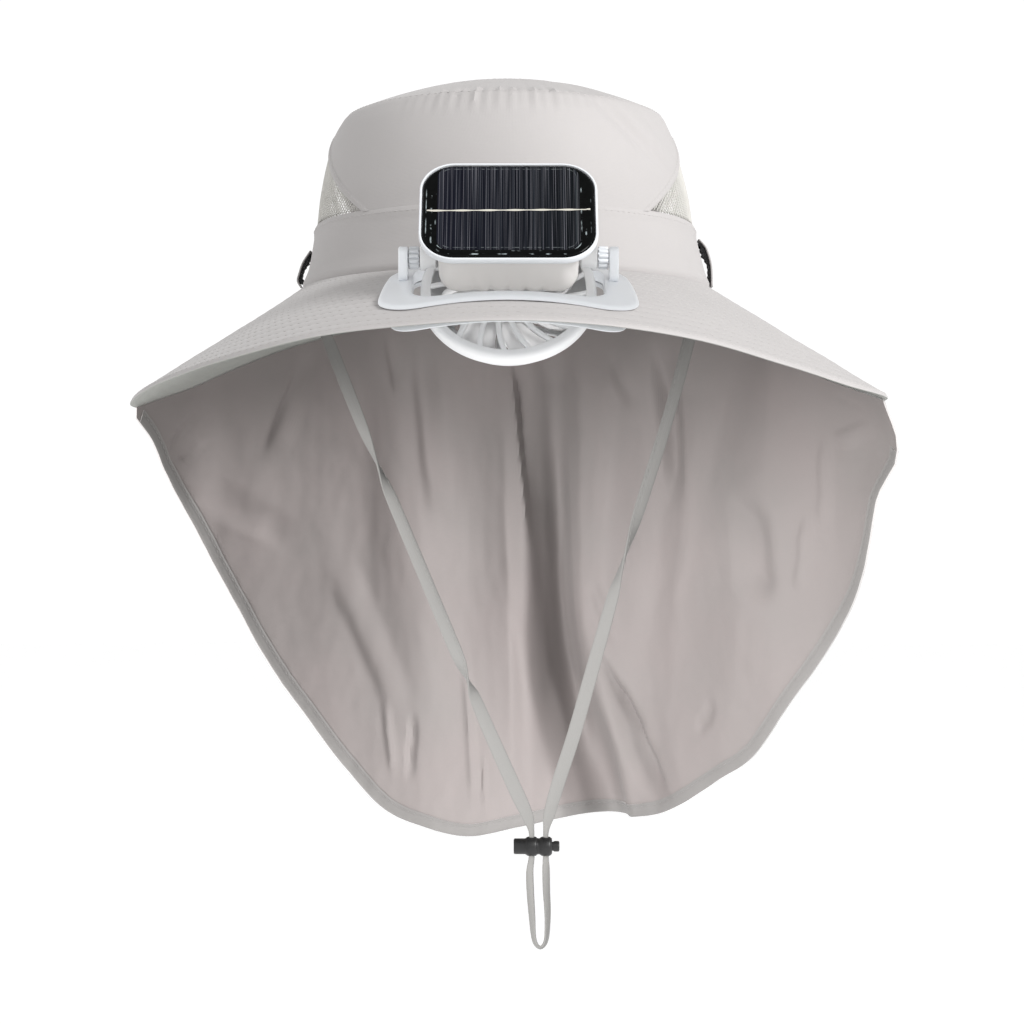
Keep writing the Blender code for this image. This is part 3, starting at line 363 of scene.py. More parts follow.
def cloth_finish(name, light, dark, sheen=0.25, rough=0.78):
    """Plain-woven cloth: two crossing sets of threads, a slow drift and fine slubs."""
    material, tree, shader = new_finish(name)
    across, down = flat_axes(tree)
    drift = cloud(tree, 16.0, 3.0)
    slub = cloud(tree, 1.0, 2.0, "UV", (300.0, 2600.0, 1.0))
    mixed = value_of(tree, "MULTIPLY_ADD", slub, 0.35, value_of(tree, "MULTIPLY", drift, 0.65))
    tree.links.new(blend_colours(tree, mixed, dark, light), shader.inputs["Base Color"])
    warp = threads(tree, across, WEAVE_PITCH)
    weft = threads(tree, down, WEAVE_PITCH)
    crossing = value_of(tree, "MAXIMUM", warp, weft)
    fine = raise_bump(tree, shader, crossing, 0.00007, 0.55)
    raise_bump(tree, shader, cloud(tree, 210.0, 3.0), 0.00022, 0.35, fine)
    set_levels(shader, Roughness=rough, Sheen_Weight=sheen, Sheen_Roughness=0.45)
    return material


grey_cloth = cloth_finish("warm_grey_cloth", (0.437, 0.418, 0.412), (0.388, 0.371, 0.366), 0.18)
# The flap's inner face is the cloth's pinkish coated side; its darker colour is painted shade.
flap_inner_cloth_and_shade = cloth_finish("flap_inner_face_and_painted_shade", (0.232, 0.196, 0.192), (0.182, 0.174, 0.167), 0.05)
tape_cloth = cloth_finish("strap_tape_cloth", (0.182, 0.177, 0.170), (0.148, 0.145, 0.139), 0.12)

# %% Threads and other finishes without a weave
def speckled_finish(name, dark, light, scale, rough, sheen=0.0):
    """Two colours that a noise mixes, for what has no weave of its own."""
    material, tree, shader = new_finish(name)
    colour = blend_colours(tree, cloud(tree, scale), dark, light)
    tree.links.new(colour, shader.inputs["Base Color"])
    set_levels(shader, Roughness=rough, Sheen_Weight=sheen)
    return material, tree, shader


def thread_finish(name, dark, light):
    """Sewing thread, rougher than the cloth."""
    return speckled_finish(name, dark, light, 900.0, 0.6, 0.3)[0]


hat_thread = thread_finish("hat_seam_thread", (0.385, 0.368, 0.360), (0.480, 0.462, 0.452))
# The flap's and the strap's thread is painted darker than the hat's: painted shade of the brim.
flap_thread_painted_shade = thread_finish("flap_seam_thread_painted_shade", (0.135, 0.128, 0.122), (0.205, 0.198, 0.190))

# %% [markdown]
# ## The chin strap
# The strap is a flat tape that comes out from inside the band at one side, runs through the
# cord lock, makes the small loop below it and goes back up. A tape is stiff across its width
# and soft along it, so it hangs in straight runs and gives way in sudden half turns. It is a
# ribbon swept along the CAD's route, with one table for where it turns and where it narrows.

# %% The strap's route
STRAP_DEPTH = -0.0060
STRAP_LINE = (
    (-0.0821, 0.0140), (-0.0828, 0.0080), (-0.0838, 0.0000), (-0.0828, -0.0100),
    (-0.0774, -0.0240), (-0.0672, -0.0500), (-0.0560, -0.0780), (-0.0455, -0.1030),
    (-0.0342, -0.1300), (-0.0220, -0.1590), (-0.0095, -0.1890), (0.0030, -0.2170),
    (0.0080, -0.2280), (0.0097, -0.2345), (0.0098, -0.2400), (0.0098, -0.2455), (0.0090, -0.2520),
    (0.0093, -0.2620), (0.0100, -0.2720), (0.0104, -0.2780), (0.0110, -0.2818), (0.0121, -0.2840),
    (0.0135, -0.2848), (0.0149, -0.2840), (0.0160, -0.2818), (0.0165, -0.2780), (0.0167, -0.2700),
    (0.0162, -0.2600), (0.0160, -0.2500), (0.0159, -0.2455), (0.0159, -0.2400), (0.0160, -0.2345),
    (0.0172, -0.2280), (0.0215, -0.2130), (0.0280, -0.1930), (0.0348, -0.1690), (0.0410, -0.1470),
    (0.0472, -0.1250), (0.0575, -0.0920), (0.0672, -0.0610), (0.0735, -0.0390), (0.0775, -0.0230),
    (0.0808, -0.0100), (0.0818, 0.0000), (0.0803, 0.0080), (0.0791, 0.0140),
)
STRAP_ROUTE = [(x, STRAP_DEPTH, z) for x, z in STRAP_LINE]
TAPE_WIDTH = 0.0060
TAPE_THICKNESS = 0.0011

# Place in the route, the tape's turn in degrees (0 faces the camera), its width as a share
TAPE_TURNS = (
    (0.0, 90.0, 1.00), (2.0, 88.0, 1.00), (3.2, 58.0, 1.00), (4.2, 18.0, 0.95), (5.3, 12.0, 0.85),
    (5.9, 84.0, 0.72), (6.5, 168.0, 0.85), (8.7, 184.0, 0.92), (9.1, 205.0, 0.90),
    (9.35, 270.0, 0.75), (9.6, 335.0, 0.92), (11.3, 360.0, 1.00), (12.2, 360.0, 0.80),
    (13.0, 360.0, 0.42), (15.0, 360.0, 0.42), (16.6, 395.0, 0.62), (19.0, 425.0, 0.74),
    (22.0, 432.0, 0.76), (25.0, 425.0, 0.74), (27.5, 395.0, 0.62), (29.0, 360.0, 0.42),
    (31.0, 360.0, 0.42), (32.2, 360.0, 0.88), (34.0, 352.0, 1.00), (36.6, 340.0, 0.90),
    (37.25, 270.0, 0.72), (37.9, 196.0, 0.86), (39.5, 182.0, 0.86), (41.2, 168.0, 0.92),
    (42.6, 118.0, 1.00), (44.0, 90.0, 1.00), (45.0, 90.0, 1.00),
)


def strap_path(count):
    """Points along the route and each one's place in it, closest together in the bends."""
    travelled = lengths_along(np.array(STRAP_ROUTE))
    table = [(length, *place) for length, place in zip(travelled, STRAP_ROUTE)]
    last = len(table) - 1
    path = []
    for i in range(count + 1):
        row = last * i / count
        before = min(int(row), last - 1)
        key = table[before][0] + (table[before + 1][0] - table[before][0]) * (row - before)
        path.append((row, Vector([smooth_value(table, key, column) for column in (1, 2, 3)])))
    return path


# %% The ribbon
STRAP_PIECES = 420
TAPE_SQUARENESS = (0.45, 0.8)
STITCH_FROM_MIDDLE = 0.62

strap_points = strap_path(STRAP_PIECES)
strap_mesh = bmesh.new()
strap_layer = strap_mesh.loops.layers.uv.new("cloth")
strap_rings = []
strap_edges = []
strap_faces_out = []
for i, (row, centre) in enumerate(strap_points):
    before = strap_points[max(i - 1, 0)][1]
    after = strap_points[min(i + 1, STRAP_PIECES)][1]
    along = (after - before).normalized()
    sideways = along.cross(Vector((0.0, -1.0, 0.0))).normalized()
    towards = along.cross(sideways).normalized()
    turn = math.radians(smooth_value(TAPE_TURNS, row, 1))
    share = smooth_value(TAPE_TURNS, row, 2)
    half_wide = TAPE_WIDTH / 2 * share
    half_thin = TAPE_THICKNESS / 2 * (1.0 + 0.5 * (1.0 - share))
    wide_way = sideways * math.cos(turn) + towards * math.sin(turn)
    thin_way = along.cross(wide_way).normalized()
    size = (half_wide, half_thin)
    ring = oval_ring(strap_mesh, centre, wide_way, thin_way, *size, powers=TAPE_SQUARENESS)
    strap_rings.append(ring)
    strap_edges.append(centre + wide_way * half_wide * STITCH_FROM_MIDDLE + thin_way * half_thin)
    strap_faces_out.append(thin_way)
bridge(strap_mesh, strap_rings)
strap_places = lengths_along(np.array([point for _, point in strap_points]))
strap_mesh.faces.ensure_lookup_table()
for i, (start, end) in enumerate(zip(strap_places, strap_places[1:])):
    for k in range(12):
        around = TAPE_WIDTH / 5 * k
        ahead = TAPE_WIDTH / 5 * (k + 1)
        corners = ((around, start), (ahead, start), (ahead, end), (around, end))
        for loop, corner in zip(strap_mesh.faces[i * 12 + k].loops, corners):
            loop[strap_layer].uv = corner
strap_tape = show("strap_tape", strap_mesh, [tape_cloth])
stands_for(strap_tape, "chin_strap")

# %% [markdown]
# ## Stitches
# A row of stitches is a row of short raised threads, each sunk a little at its ends. They are
# real geometry here, because the seams are what makes a sewn thing look sewn, in close views
# as well. One helper lays them along any line on any surface.

# %% A row of stitches
STITCH_LENGTH = 0.0021
STITCH_GAP = 0.0010
STITCH_RADIUS = 0.00019
STITCH_SHARES = (0.0, 0.12, 0.5, 0.88, 1.0)
LOOK_AHEAD = 0.0005


def stitch_row(name, path, ups, thread, radius=STITCH_RADIUS):
    """Lays stitches along a line of points, on the side that ups points to."""
    places = np.array([tuple(point) for point in path])
    ups = np.array([tuple(up) for up in ups])
    travelled = lengths_along(places)
    total = travelled[-1]

    def at(distance, rows):
        return Vector([np.interp(distance, travelled, rows[:, k]) for k in range(3)])

    mesh = bmesh.new()
    start = STITCH_GAP
    while start + STITCH_LENGTH < total:
        rings = []
        for share in STITCH_SHARES:
            distance = start + STITCH_LENGTH * share
            place = at(distance, places)
            up = at(distance, ups).normalized()
            along = (at(min(distance + LOOK_AHEAD, total), places) - place).normalized()
            side = along.cross(up).normalized()
            swell = math.sin(math.pi * min(max(share, 0.06), 0.94)) ** 0.5
            centre = place + up * radius * (0.9 * swell - 0.55)
            thick = radius * swell
            rings.append(oval_ring(mesh, centre, side, up, thick, thick, 6))
        bridge(mesh, rings)
        start += STITCH_LENGTH + STITCH_GAP
    piece = show(name, mesh, [thread], 60.0)
    return piece


strap_stitches = stitch_row(
    "strap_stitches", strap_edges, strap_faces_out, flap_thread_painted_shade, STITCH_RADIUS * 0.8
)

# %% [markdown]
# ## The crown
# A crown is sewn from flat panels: a tip, a front and a back panel, a band, and a net triangle
# in each side. One function gives the outside of the wall at any turn and height, from a short
# table of how the oval narrows. The panels, the band and the net all read it, so they meet.
# The cloth is pulled in where two pieces are sewn together, and it puckers just below that line.

# %% The crown's sizes
HEAD_HALF_WIDTH = 0.090
HEAD_HALF_DEPTH = 0.105
WALL_HEIGHT = 0.0725
DOME_RISE = 0.0165
DOME_FALL = 1.9
BAND_HEIGHT = 0.026
CROWN_CLOTH = 0.0014
SEAT_GAP = 0.0003
VENT_APEX_HEIGHT = 0.066
VENT_HALF_ANGLE = 44.0
SEAM_DIP = 0.0006
SEAM_DIP_REACH = 0.0018

# Height share of the wall, then shares of half width left and right and of half depth
CROWN_SECTIONS = (
    (0.000, 1.000, 0.972, 1.000),
    (0.055, 0.978, 0.952, 0.985),
    (0.110, 0.962, 0.937, 0.972),
    (0.330, 0.932, 0.895, 0.945),
    (0.540, 0.913, 0.868, 0.920),
    (0.750, 0.879, 0.824, 0.885),
    (0.900, 0.838, 0.781, 0.842),
    (1.000, 0.790, 0.745, 0.790),
)


# %% The crown's surface
PUCKER_DEPTH = 0.0011
PUCKER_REACH = 0.0120
CREASE_DEPTH = 0.0022
CREASE_LIFT = 0.0012
LOOSE_CLOTH = 0.0007


def pucker(turn, away):
    """Short gathers next to the front of the tip seam, away being the distance from it."""
    strong = 0.30 * bump((turn - 2.0) / 62.0) + 0.70 * bump((turn + 4.0) / 46.0)
    waves = 0.55 * math.sin(math.radians(turn * 92.0)) + 0.9 * ripple(turn * 0.30, 3.7)
    return PUCKER_DEPTH * strong * waves * bump(away / PUCKER_REACH)


def crown_relief(turn, height):
    """How far the cloth stands out from the plain oval."""
    share = height / WALL_HEIGHT
    away = WALL_HEIGHT - height
    crease_middle = 31.0 + 58.0 * (1.0 - share)
    crease = -CREASE_DEPTH * bump((turn - crease_middle) / 7.0) * bump((share - 0.86) / 0.30)
    lift = CREASE_LIFT * bump((turn - crease_middle - 9.0) / 9.0) * bump((share - 0.84) / 0.30)
    loose = LOOSE_CLOTH * ripple(turn * 0.045, share * 2.2, 1.0) * bump((share - 0.6) / 0.45)
    return pucker(turn, away) + crease + lift + loose


def crown_point(turn, height, relief=True):
    """Outside of the crown wall: turn in degrees from the front towards +X, height in metres."""
    share = height / WALL_HEIGHT
    side = 2 if math.sin(math.radians(turn)) > 0 else 1
    half_width = HEAD_HALF_WIDTH * smooth_value(CROWN_SECTIONS, share, side)
    half_depth = HEAD_HALF_DEPTH * smooth_value(CROWN_SECTIONS, share, 3)
    bend = math.radians(turn)
    puffed = 1.0 + (crown_relief(turn, height) / half_depth if relief else 0.0)
    return (half_width * math.sin(bend) * puffed, -half_depth * math.cos(bend) * puffed, height)


def vent_half_turn(height):
    """Half of the vent's width at a height, in degrees."""
    rise = (height - BAND_HEIGHT) / (VENT_APEX_HEIGHT - BAND_HEIGHT)
    return max(VENT_HALF_ANGLE * (1.0 - rise), 0.0)


def pushed(grid, distance, sign_from, level=False, closed=False):
    """Moves points along the surface's normal, out from a middle point or along a direction."""
    normal = normals_of(grid, closed)
    if level:
        normal[:, :, 2] = 0.0
        normal /= np.maximum(np.linalg.norm(normal, axis=2, keepdims=True), 1e-12)
    facing = np.sum(normal * (grid - np.array(sign_from)), axis=2, keepdims=True)
    normal = normal * np.where(facing < 0.0, -1.0, 1.0)
    reach = distance[:, :, None] if isinstance(distance, np.ndarray) else distance
    return grid + normal * reach


HEAD_MIDDLE = (0.0, 0.0, 0.04)

# %% The front and back panels
PANEL_FACES = {"crown_front_panel": (0.0, 150, 52), "crown_back_panel": (180.0, 90, 36)}
panel_edges = {}
PANEL_TUCK = 0.0006
PANEL_HALF_LENGTH = 0.075
EDGE_ROLL = 0.0005
EDGE_ROLL_REACH = 0.0024
for name, (middle, column_count, row_count) in PANEL_FACES.items():
    low = BAND_HEIGHT - PANEL_TUCK
    columns = steps(-1.0, 1.0, column_count)
    rows = [1.0 - (1.0 - v) ** 1.25 for v in steps(0.0, 1.0, row_count)]

    def panel_point(u, v):
        height = low + (WALL_HEIGHT - low) * v
        half = 90.0 - vent_half_turn(height)
        return crown_point(middle + half * u, height)

    outside = surface_grid(panel_point, columns, rows)
    heights = outside[:, :, 2]
    to_seam = np.abs(WALL_HEIGHT - heights)
    dip = -SEAM_DIP * np.clip(1.0 - to_seam / SEAM_DIP_REACH, 0.0, 1.0) ** 2
    from_edge = (1.0 - np.abs(np.array(columns)))[None, :] * PANEL_HALF_LENGTH + 0.0 * heights
    off_roll = (from_edge - EDGE_ROLL_REACH) / EDGE_ROLL_REACH
    rolled = EDGE_ROLL * np.clip(1.0 - off_roll ** 2, 0.0, 1.0)
    rolled *= heights < VENT_APEX_HEIGHT
    outside = pushed(outside, dip + rolled, HEAD_MIDDLE, level=True)
    inside = pushed(outside, -CROWN_CLOTH, HEAD_MIDDLE, level=True)
    panel = stands_for(wall(name + "_cloth", outside, inside, [grey_cloth]), name)
    panel_edges[name] = outside
    print(name, len(panel.data.polygons), "faces")

# %% The tip
TIP_SLACK = 0.0012
TIP_SUNK = 0.0001
tip_columns = steps(-180.0, 180.0, 240)
tip_rows = [math.sin(math.pi / 2 * v) for v in steps(0.0, 1.0, 44)]


def dome_point(turn, reach):
    """Outside of the tip, where reach is 0 at its middle and 1 at its seam."""
    x, y, _ = crown_point(turn, WALL_HEIGHT)
    rise = 1.0 - min(reach, 1.0) ** DOME_FALL
    slack = TIP_SLACK * ripple(x * reach * 26.0, y * reach * 26.0) * bump((reach - 0.55) / 0.5)
    away = (1.0 - reach) * HEAD_HALF_WIDTH
    height = WALL_HEIGHT - TIP_SUNK + DOME_RISE * rise + slack * rise
    height += pucker(turn, away) * min(away / 0.003, 1.0)
    pull = 1.0 - SEAM_DIP * max(1.0 - away / SEAM_DIP_REACH, 0.0) ** 2 / HEAD_HALF_WIDTH
    return (x * reach * pull, y * reach * pull, height)


tip_outside = surface_grid(dome_point, tip_columns, tip_rows)
tip_inside = tip_outside * ((HEAD_HALF_WIDTH - CROWN_CLOTH) / HEAD_HALF_WIDTH, 1.0, 1.0)
tip_inside[:, :, 1] *= (HEAD_HALF_DEPTH - CROWN_CLOTH) / HEAD_HALF_DEPTH
tip_inside[:-1, :, 2] -= CROWN_CLOTH
tip = wall("crown_tip_cloth", tip_outside, tip_inside, [grey_cloth], closed=True)
stands_for(tip, "crown_top")

# %% The band
BAND_CLOTH = 0.0016
BAND_FOOT = -0.0014
BAND_FULLNESS = 0.0004
BAND_TURNED_UNDER = 0.0003
FOOT_DRAWN_IN = 0.0012
BAND_WAVE = 0.0006
band_heights = [BAND_FOOT + (BAND_HEIGHT - BAND_FOOT) * v for v in steps(0.0, 1.0, 26)]


def band_point(turn, height):
    """The band's outside: full below its top edge, turned under there and drawn in at the foot."""
    x, y, z = crown_point(turn, height, relief=False)
    reach = math.hypot(x, y)
    top = BAND_HEIGHT - height
    swell = BAND_FULLNESS * bump((top - 0.0022) / 0.0030) - BAND_TURNED_UNDER * bump(top / 0.0007)
    foot = -FOOT_DRAWN_IN * bump(height / FOOT_DRAWN_IN)
    wave = BAND_WAVE * ripple(turn * 0.06, height * 40.0, 5.0) * bump((height - 0.013) / 0.014)
    grown = 1.0 + (swell + foot + wave) / reach
    return (x * grown, y * grown, z)


band_outside = surface_grid(band_point, tip_columns, band_heights)
band_inside = pushed(band_outside, -BAND_CLOTH, HEAD_MIDDLE, level=True, closed=True)
band = wall("crown_band_cloth", band_outside, band_inside, [grey_cloth], closed=True)
stands_for(band, "crown_band")
print("crown pieces:", len(tip.data.polygons), len(band.data.polygons), "faces")

# %% [markdown]
# ## The net vents
# Each vent is a triangle of coarse knitted net. At this size each thread can be real: a grid
# of diamonds is laid on the crown's own surface, only the diamonds inside the triangle are
# kept, and a Wireframe modifier turns every edge into a thread. Light then passes through it.

# %% The net
NET_PITCH_TURN = 1.50
NET_PITCH_HEIGHT = 0.0021
NET_THREAD = 0.00044
NET_WANDER = 0.10
NET_EDGE_TUCK = 2.2
NET_TOP_TUCK = 0.0020
NET_BEHIND_CLOTH = 0.0008
net_finish, _, _ = speckled_finish(
    "vent_net", (0.50, 0.49, 0.46), (0.64, 0.63, 0.60), 300.0, 0.7, 0.2
)


def net_vent(name, middle):
    """A triangle of diamonds on the crown, with its edges tucked behind the panels."""
    low = BAND_HEIGHT + SEAT_GAP
    rows = int((VENT_APEX_HEIGHT + NET_TOP_TUCK - low) / (NET_PITCH_HEIGHT / 2))
    mesh = bmesh.new()
    knots = {}

    def knot(column, row):
        """The knot at a half-step column and row, made once."""
        if (column, row) not in knots:
            height = low + row * NET_PITCH_HEIGHT / 2
            turn = middle + column * NET_PITCH_TURN / 2
            turn += NET_WANDER * ripple(column * 0.21, row * 0.21, middle)
            x, y, z = crown_point(turn, height, relief=False)
            inward = 1.0 - NET_BEHIND_CLOTH / math.hypot(x, y)
            knots[(column, row)] = mesh.verts.new((x * inward, y * inward, z))
        return knots[(column, row)]

    widest = int(VENT_HALF_ANGLE / (NET_PITCH_TURN / 2)) + 2
    for row in range(rows - 1):
        reach = vent_half_turn(low + (row + 1) * NET_PITCH_HEIGHT / 2) + NET_EDGE_TUCK
        for column in range(-widest, widest + 1):
            if (column + row) % 2 or abs(column) * NET_PITCH_TURN / 2 > reach:
                continue
            corners = ((column, row), (column + 1, row + 1), (column, row + 2), (column - 1, row + 1))
            mesh.faces.new([knot(*corner) for corner in corners])
    net = placed(name, mesh)
    net.data.materials.append(net_finish)
    made = net.modifiers.new("threads", "WIREFRAME")
    made.thickness = NET_THREAD
    made.use_even_offset = False
    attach(net, "hat")
    print(name, len(net.data.polygons), "diamonds")
    return net


stands_for(net_vent("vent_net_left", -90.0), "mesh_vent_left")
stands_for(net_vent("vent_net_right", 90.0), "mesh_vent_right")

# %% [markdown]
# ## The brim
# The brim is two layers of cloth sewn together with many rows of stitches, one inside the
# other, which keep it stiff. The cloth swells a little between two rows. So the rings of the
# mesh follow the rows, four to each, and the surface dips at every row. A slot in front takes
# the fan's collar; it is cut with a Boolean, because its rounded corners cross the rings.

# %% The brim's sizes
BRIM_HALF_WIDTH = 0.162
BRIM_FRONT_REACH = 0.190
BRIM_BACK_REACH = 0.176
BRIM_SIDE_DROP = 0.050
BRIM_CLOTH = 0.002
STITCH_ROWS = 17
QUILT_DEPTH = 0.00028

# Turn from the front in degrees, then the edge's drop and its curl as shares of the side drop
BRIM_SECTIONS = (
    (-180.0, 1.04, 0.30), (-135.0, 1.06, 0.20), (-90.0, 1.00, -0.18), (-75.0, 0.99, -0.10),
    (-55.0, 0.87, 0.10), (-40.0, 0.752, 0.30), (-25.0, 0.623, 0.46), (-12.0, 0.564, 0.54),
    (0.0, 0.537, 0.566), (12.0, 0.566, 0.54), (25.0, 0.65, 0.46), (40.0, 0.805, 0.30),
    (55.0, 0.92, 0.18), (70.0, 0.95, 0.00), (90.0, 0.95, -0.10), (135.0, 1.06, 0.20),
    (180.0, 1.04, 0.30),
)


# %% The brim's surface
def brim_point(turn, reach):
    """Top of the brim: reach is 0 at the crown and 1 at the outer edge."""
    bend = math.radians(turn)
    side = 2 if math.sin(bend) > 0 else 1
    inner_x = HEAD_HALF_WIDTH * CROWN_SECTIONS[0][side] - BAND_CLOTH
    inner_y = HEAD_HALF_DEPTH - BAND_CLOTH
    outer_y = BRIM_FRONT_REACH if math.cos(bend) > 0 else BRIM_BACK_REACH
    wrapped = (turn + 180.0) % 360.0 - 180.0
    drop = BRIM_SIDE_DROP * smooth_value(BRIM_SECTIONS, wrapped, 1)
    curl = smooth_value(BRIM_SECTIONS, wrapped, 2)
    return (
        math.sin(bend) * (inner_x + (BRIM_HALF_WIDTH - inner_x) * reach),
        -math.cos(bend) * (inner_y + (outer_y - inner_y) * reach),
        -drop * ((1.0 - curl) * reach + curl * reach * reach),
    )


def quilted(reach):
    """How deep the surface lies below its swells: 1 on a row of stitches, 0 between two."""
    phase = (reach * STITCH_ROWS) % 1.0
    return max(1.0 - min(phase, 1.0 - phase) / 0.30, 0.0) ** 1.5


ROWS_PER_SWELL = (0.0, 0.18, 0.5, 0.82)
RIM_ROUNDING = 0.0004
SWAY_DEPTH = 0.00045
brim_columns = steps(-180.0, 180.0, 252)
brim_rows = [(row + part) / STITCH_ROWS for row in range(STITCH_ROWS) for part in ROWS_PER_SWELL]
brim_rows.append(1.0)
brim_top = surface_grid(brim_point, brim_columns, brim_rows)
brim_under = brim_top - (0.0, 0.0, BRIM_CLOTH)


def brim_sway(turn, reach):
    """A slow unevenness in the height of the outer half."""
    return SWAY_DEPTH * ripple(turn * 0.10, reach * 5.0, 2.0) * bump((reach - 0.62) / 0.5)


dips = np.array([QUILT_DEPTH * quilted(reach) for reach in brim_rows])[:, None]
sway = surface_grid(brim_sway, brim_columns[:-1], brim_rows)
sway = np.concatenate([sway, sway[:, :1]], axis=1)
brim_top[:, :, 2] += sway - dips
brim_under[:, :, 2] += sway + dips
brim_under[-1, :, 2] += RIM_ROUNDING
brim_top[-1, :, 2] -= RIM_ROUNDING

# %% The slot and the brim
SLOT_HALF_WIDTH = 0.0375
SLOT_BACK = -HEAD_HALF_DEPTH - 0.0100
SLOT_FRONT = -HEAD_HALF_DEPTH - 0.0657
SLOT_CORNER = 0.0135


# %% Outlines, prisms and cuts
def rounded_outline(half_x, half_y, corner, corner_steps=10):
    """Points round a rectangle with round corners."""
    points = []
    for sign_x, sign_y, start in ((1, 1, 0), (-1, 1, 90), (-1, -1, 180), (1, -1, 270)):
        for i in range(corner_steps + 1):
            turn = math.radians(start + 90 * i / corner_steps)
            points.append((
                sign_x * (half_x - corner) + corner * math.cos(turn),
                sign_y * (half_y - corner) + corner * math.sin(turn),
            ))
    return points


def prism(outline, low, high):
    """An upright solid on an outline in plan."""
    mesh = bmesh.new()
    bridge(mesh, [[mesh.verts.new((x, y, z)) for x, y in outline] for z in (low, high)])
    bmesh.ops.recalc_face_normals(mesh, faces=mesh.faces)
    return mesh


def cut(piece, tool_mesh):
    """Takes a closed mesh out of a piece, and leaves no modifier or tool behind."""
    tool = placed("tool", tool_mesh)
    modifier = piece.modifiers.new("cut", "BOOLEAN")
    modifier.operation = "DIFFERENCE"
    modifier.solver = "EXACT"
    modifier.object = tool
    graph = bpy.context.evaluated_depsgraph_get()
    result = bpy.data.meshes.new_from_object(piece.evaluated_get(graph))
    piece.modifiers.clear()
    piece.data = result
    bpy.data.objects.remove(tool, do_unlink=True)


# %% The brim in the scene
# The brim's underside is the same cloth as its top, given a darker colour: painted shade.
under_cloth_painted_shade = cloth_finish("brim_underside_painted_shade", (0.300, 0.305, 0.285), (0.245, 0.250, 0.232), 0.1)
brim = wall("brim_cloth", brim_top, brim_under, [grey_cloth, under_cloth_painted_shade], closed=True)
slot_middle = (SLOT_BACK + SLOT_FRONT) / 2
slot_half_depth = (SLOT_BACK - SLOT_FRONT) / 2
slot_outline = rounded_outline(SLOT_HALF_WIDTH, slot_half_depth, SLOT_CORNER)
cut(brim, prism([(x, y + slot_middle) for x, y in slot_outline], -0.05, 0.02))
stands_for(brim, "brim")
print("brim:", len(brim.data.polygons), "faces")

# %% [markdown]
# ## The neck flap
# The flap is one long piece of thin cloth, sewn under the brim behind a line that runs from
# one side round the back to the other. It hangs by its own weight, so its folds start at the
# seam and open downwards. Two tables set it: where the seam and the hem run, and where each
# fold lies. Small creases are added as short straight lines with a sharp side and a soft side.

# %% The flap's sizes
FLAP_LENGTH = 0.2022
FLAP_CLOTH = 0.0008
FLAP_GAP = 0.0004
FLAP_LEFT_CORNER = 86.0
FLAP_RIGHT_CORNER = 82.0
FLAP_FLARE = 0.020
FLAP_FOLD_DEPTH = 0.012
FLAP_CUT_WIDTH = 0.56
HEM_WIDTH = 0.006

# Share of the way from the left corner to the right one, the seam's place on the brim
# (0 at the crown, 1 at the edge) and the hem's drop as a share of the flap
FLAP_SECTIONS = (
    (0.000, 0.985, 0.030), (0.025, 0.890, 0.086), (0.070, 0.740, 0.228), (0.100, 0.600, 0.370),
    (0.150, 0.430, 0.568), (0.200, 0.315, 0.707), (0.250, 0.220, 0.827), (0.300, 0.165, 0.921),
    (0.350, 0.130, 0.966), (0.425, 0.095, 1.000), (0.500, 0.080, 0.980), (0.575, 0.095, 0.954),
    (0.640, 0.125, 0.950), (0.710, 0.180, 0.935), (0.750, 0.220, 0.905), (0.800, 0.315, 0.842),
    (0.850, 0.430, 0.772), (0.900, 0.600, 0.608), (0.930, 0.740, 0.485), (0.960, 0.850, 0.360),
    (0.980, 0.920, 0.240), (1.000, 0.985, 0.070),
)

# Place and half width as shares of the way round, the fold's depth outwards as a share of the
# fold depth, where it starts and ends as shares of the flap's length, and its lean
FLAP_FOLDS = (
    (0.047, 0.035, 0.25, 0.00, 0.50, 0.050),
    (0.116, 0.045, 0.12, 0.00, 0.90, 0.020),
    (0.190, 0.045, -0.12, -0.10, 0.85, 0.020),
    (0.265, 0.040, -0.16, 0.10, 1.10, 0.030),
    (0.323, 0.040, 0.36, -0.10, 0.70, 0.015),
    (0.434, 0.050, -0.55, 0.05, 1.10, 0.000),
    (0.438, 0.038, 2.10, 0.60, 1.60, 0.160),
    (0.508, 0.022, -0.60, 0.10, 1.20, 0.018),
    (0.556, 0.030, 0.95, -0.15, 1.05, 0.004),
    (0.655, 0.042, -0.35, 0.00, 0.90, -0.012),
    (0.730, 0.040, 0.55, 0.00, 1.00, -0.060),
    (0.850, 0.050, -0.20, 0.00, 0.90, -0.020),
    (0.940, 0.042, 0.30, 0.10, 0.90, -0.010),
    (0.995, 0.045, 0.85, -0.10, 0.20, 0.000),
)

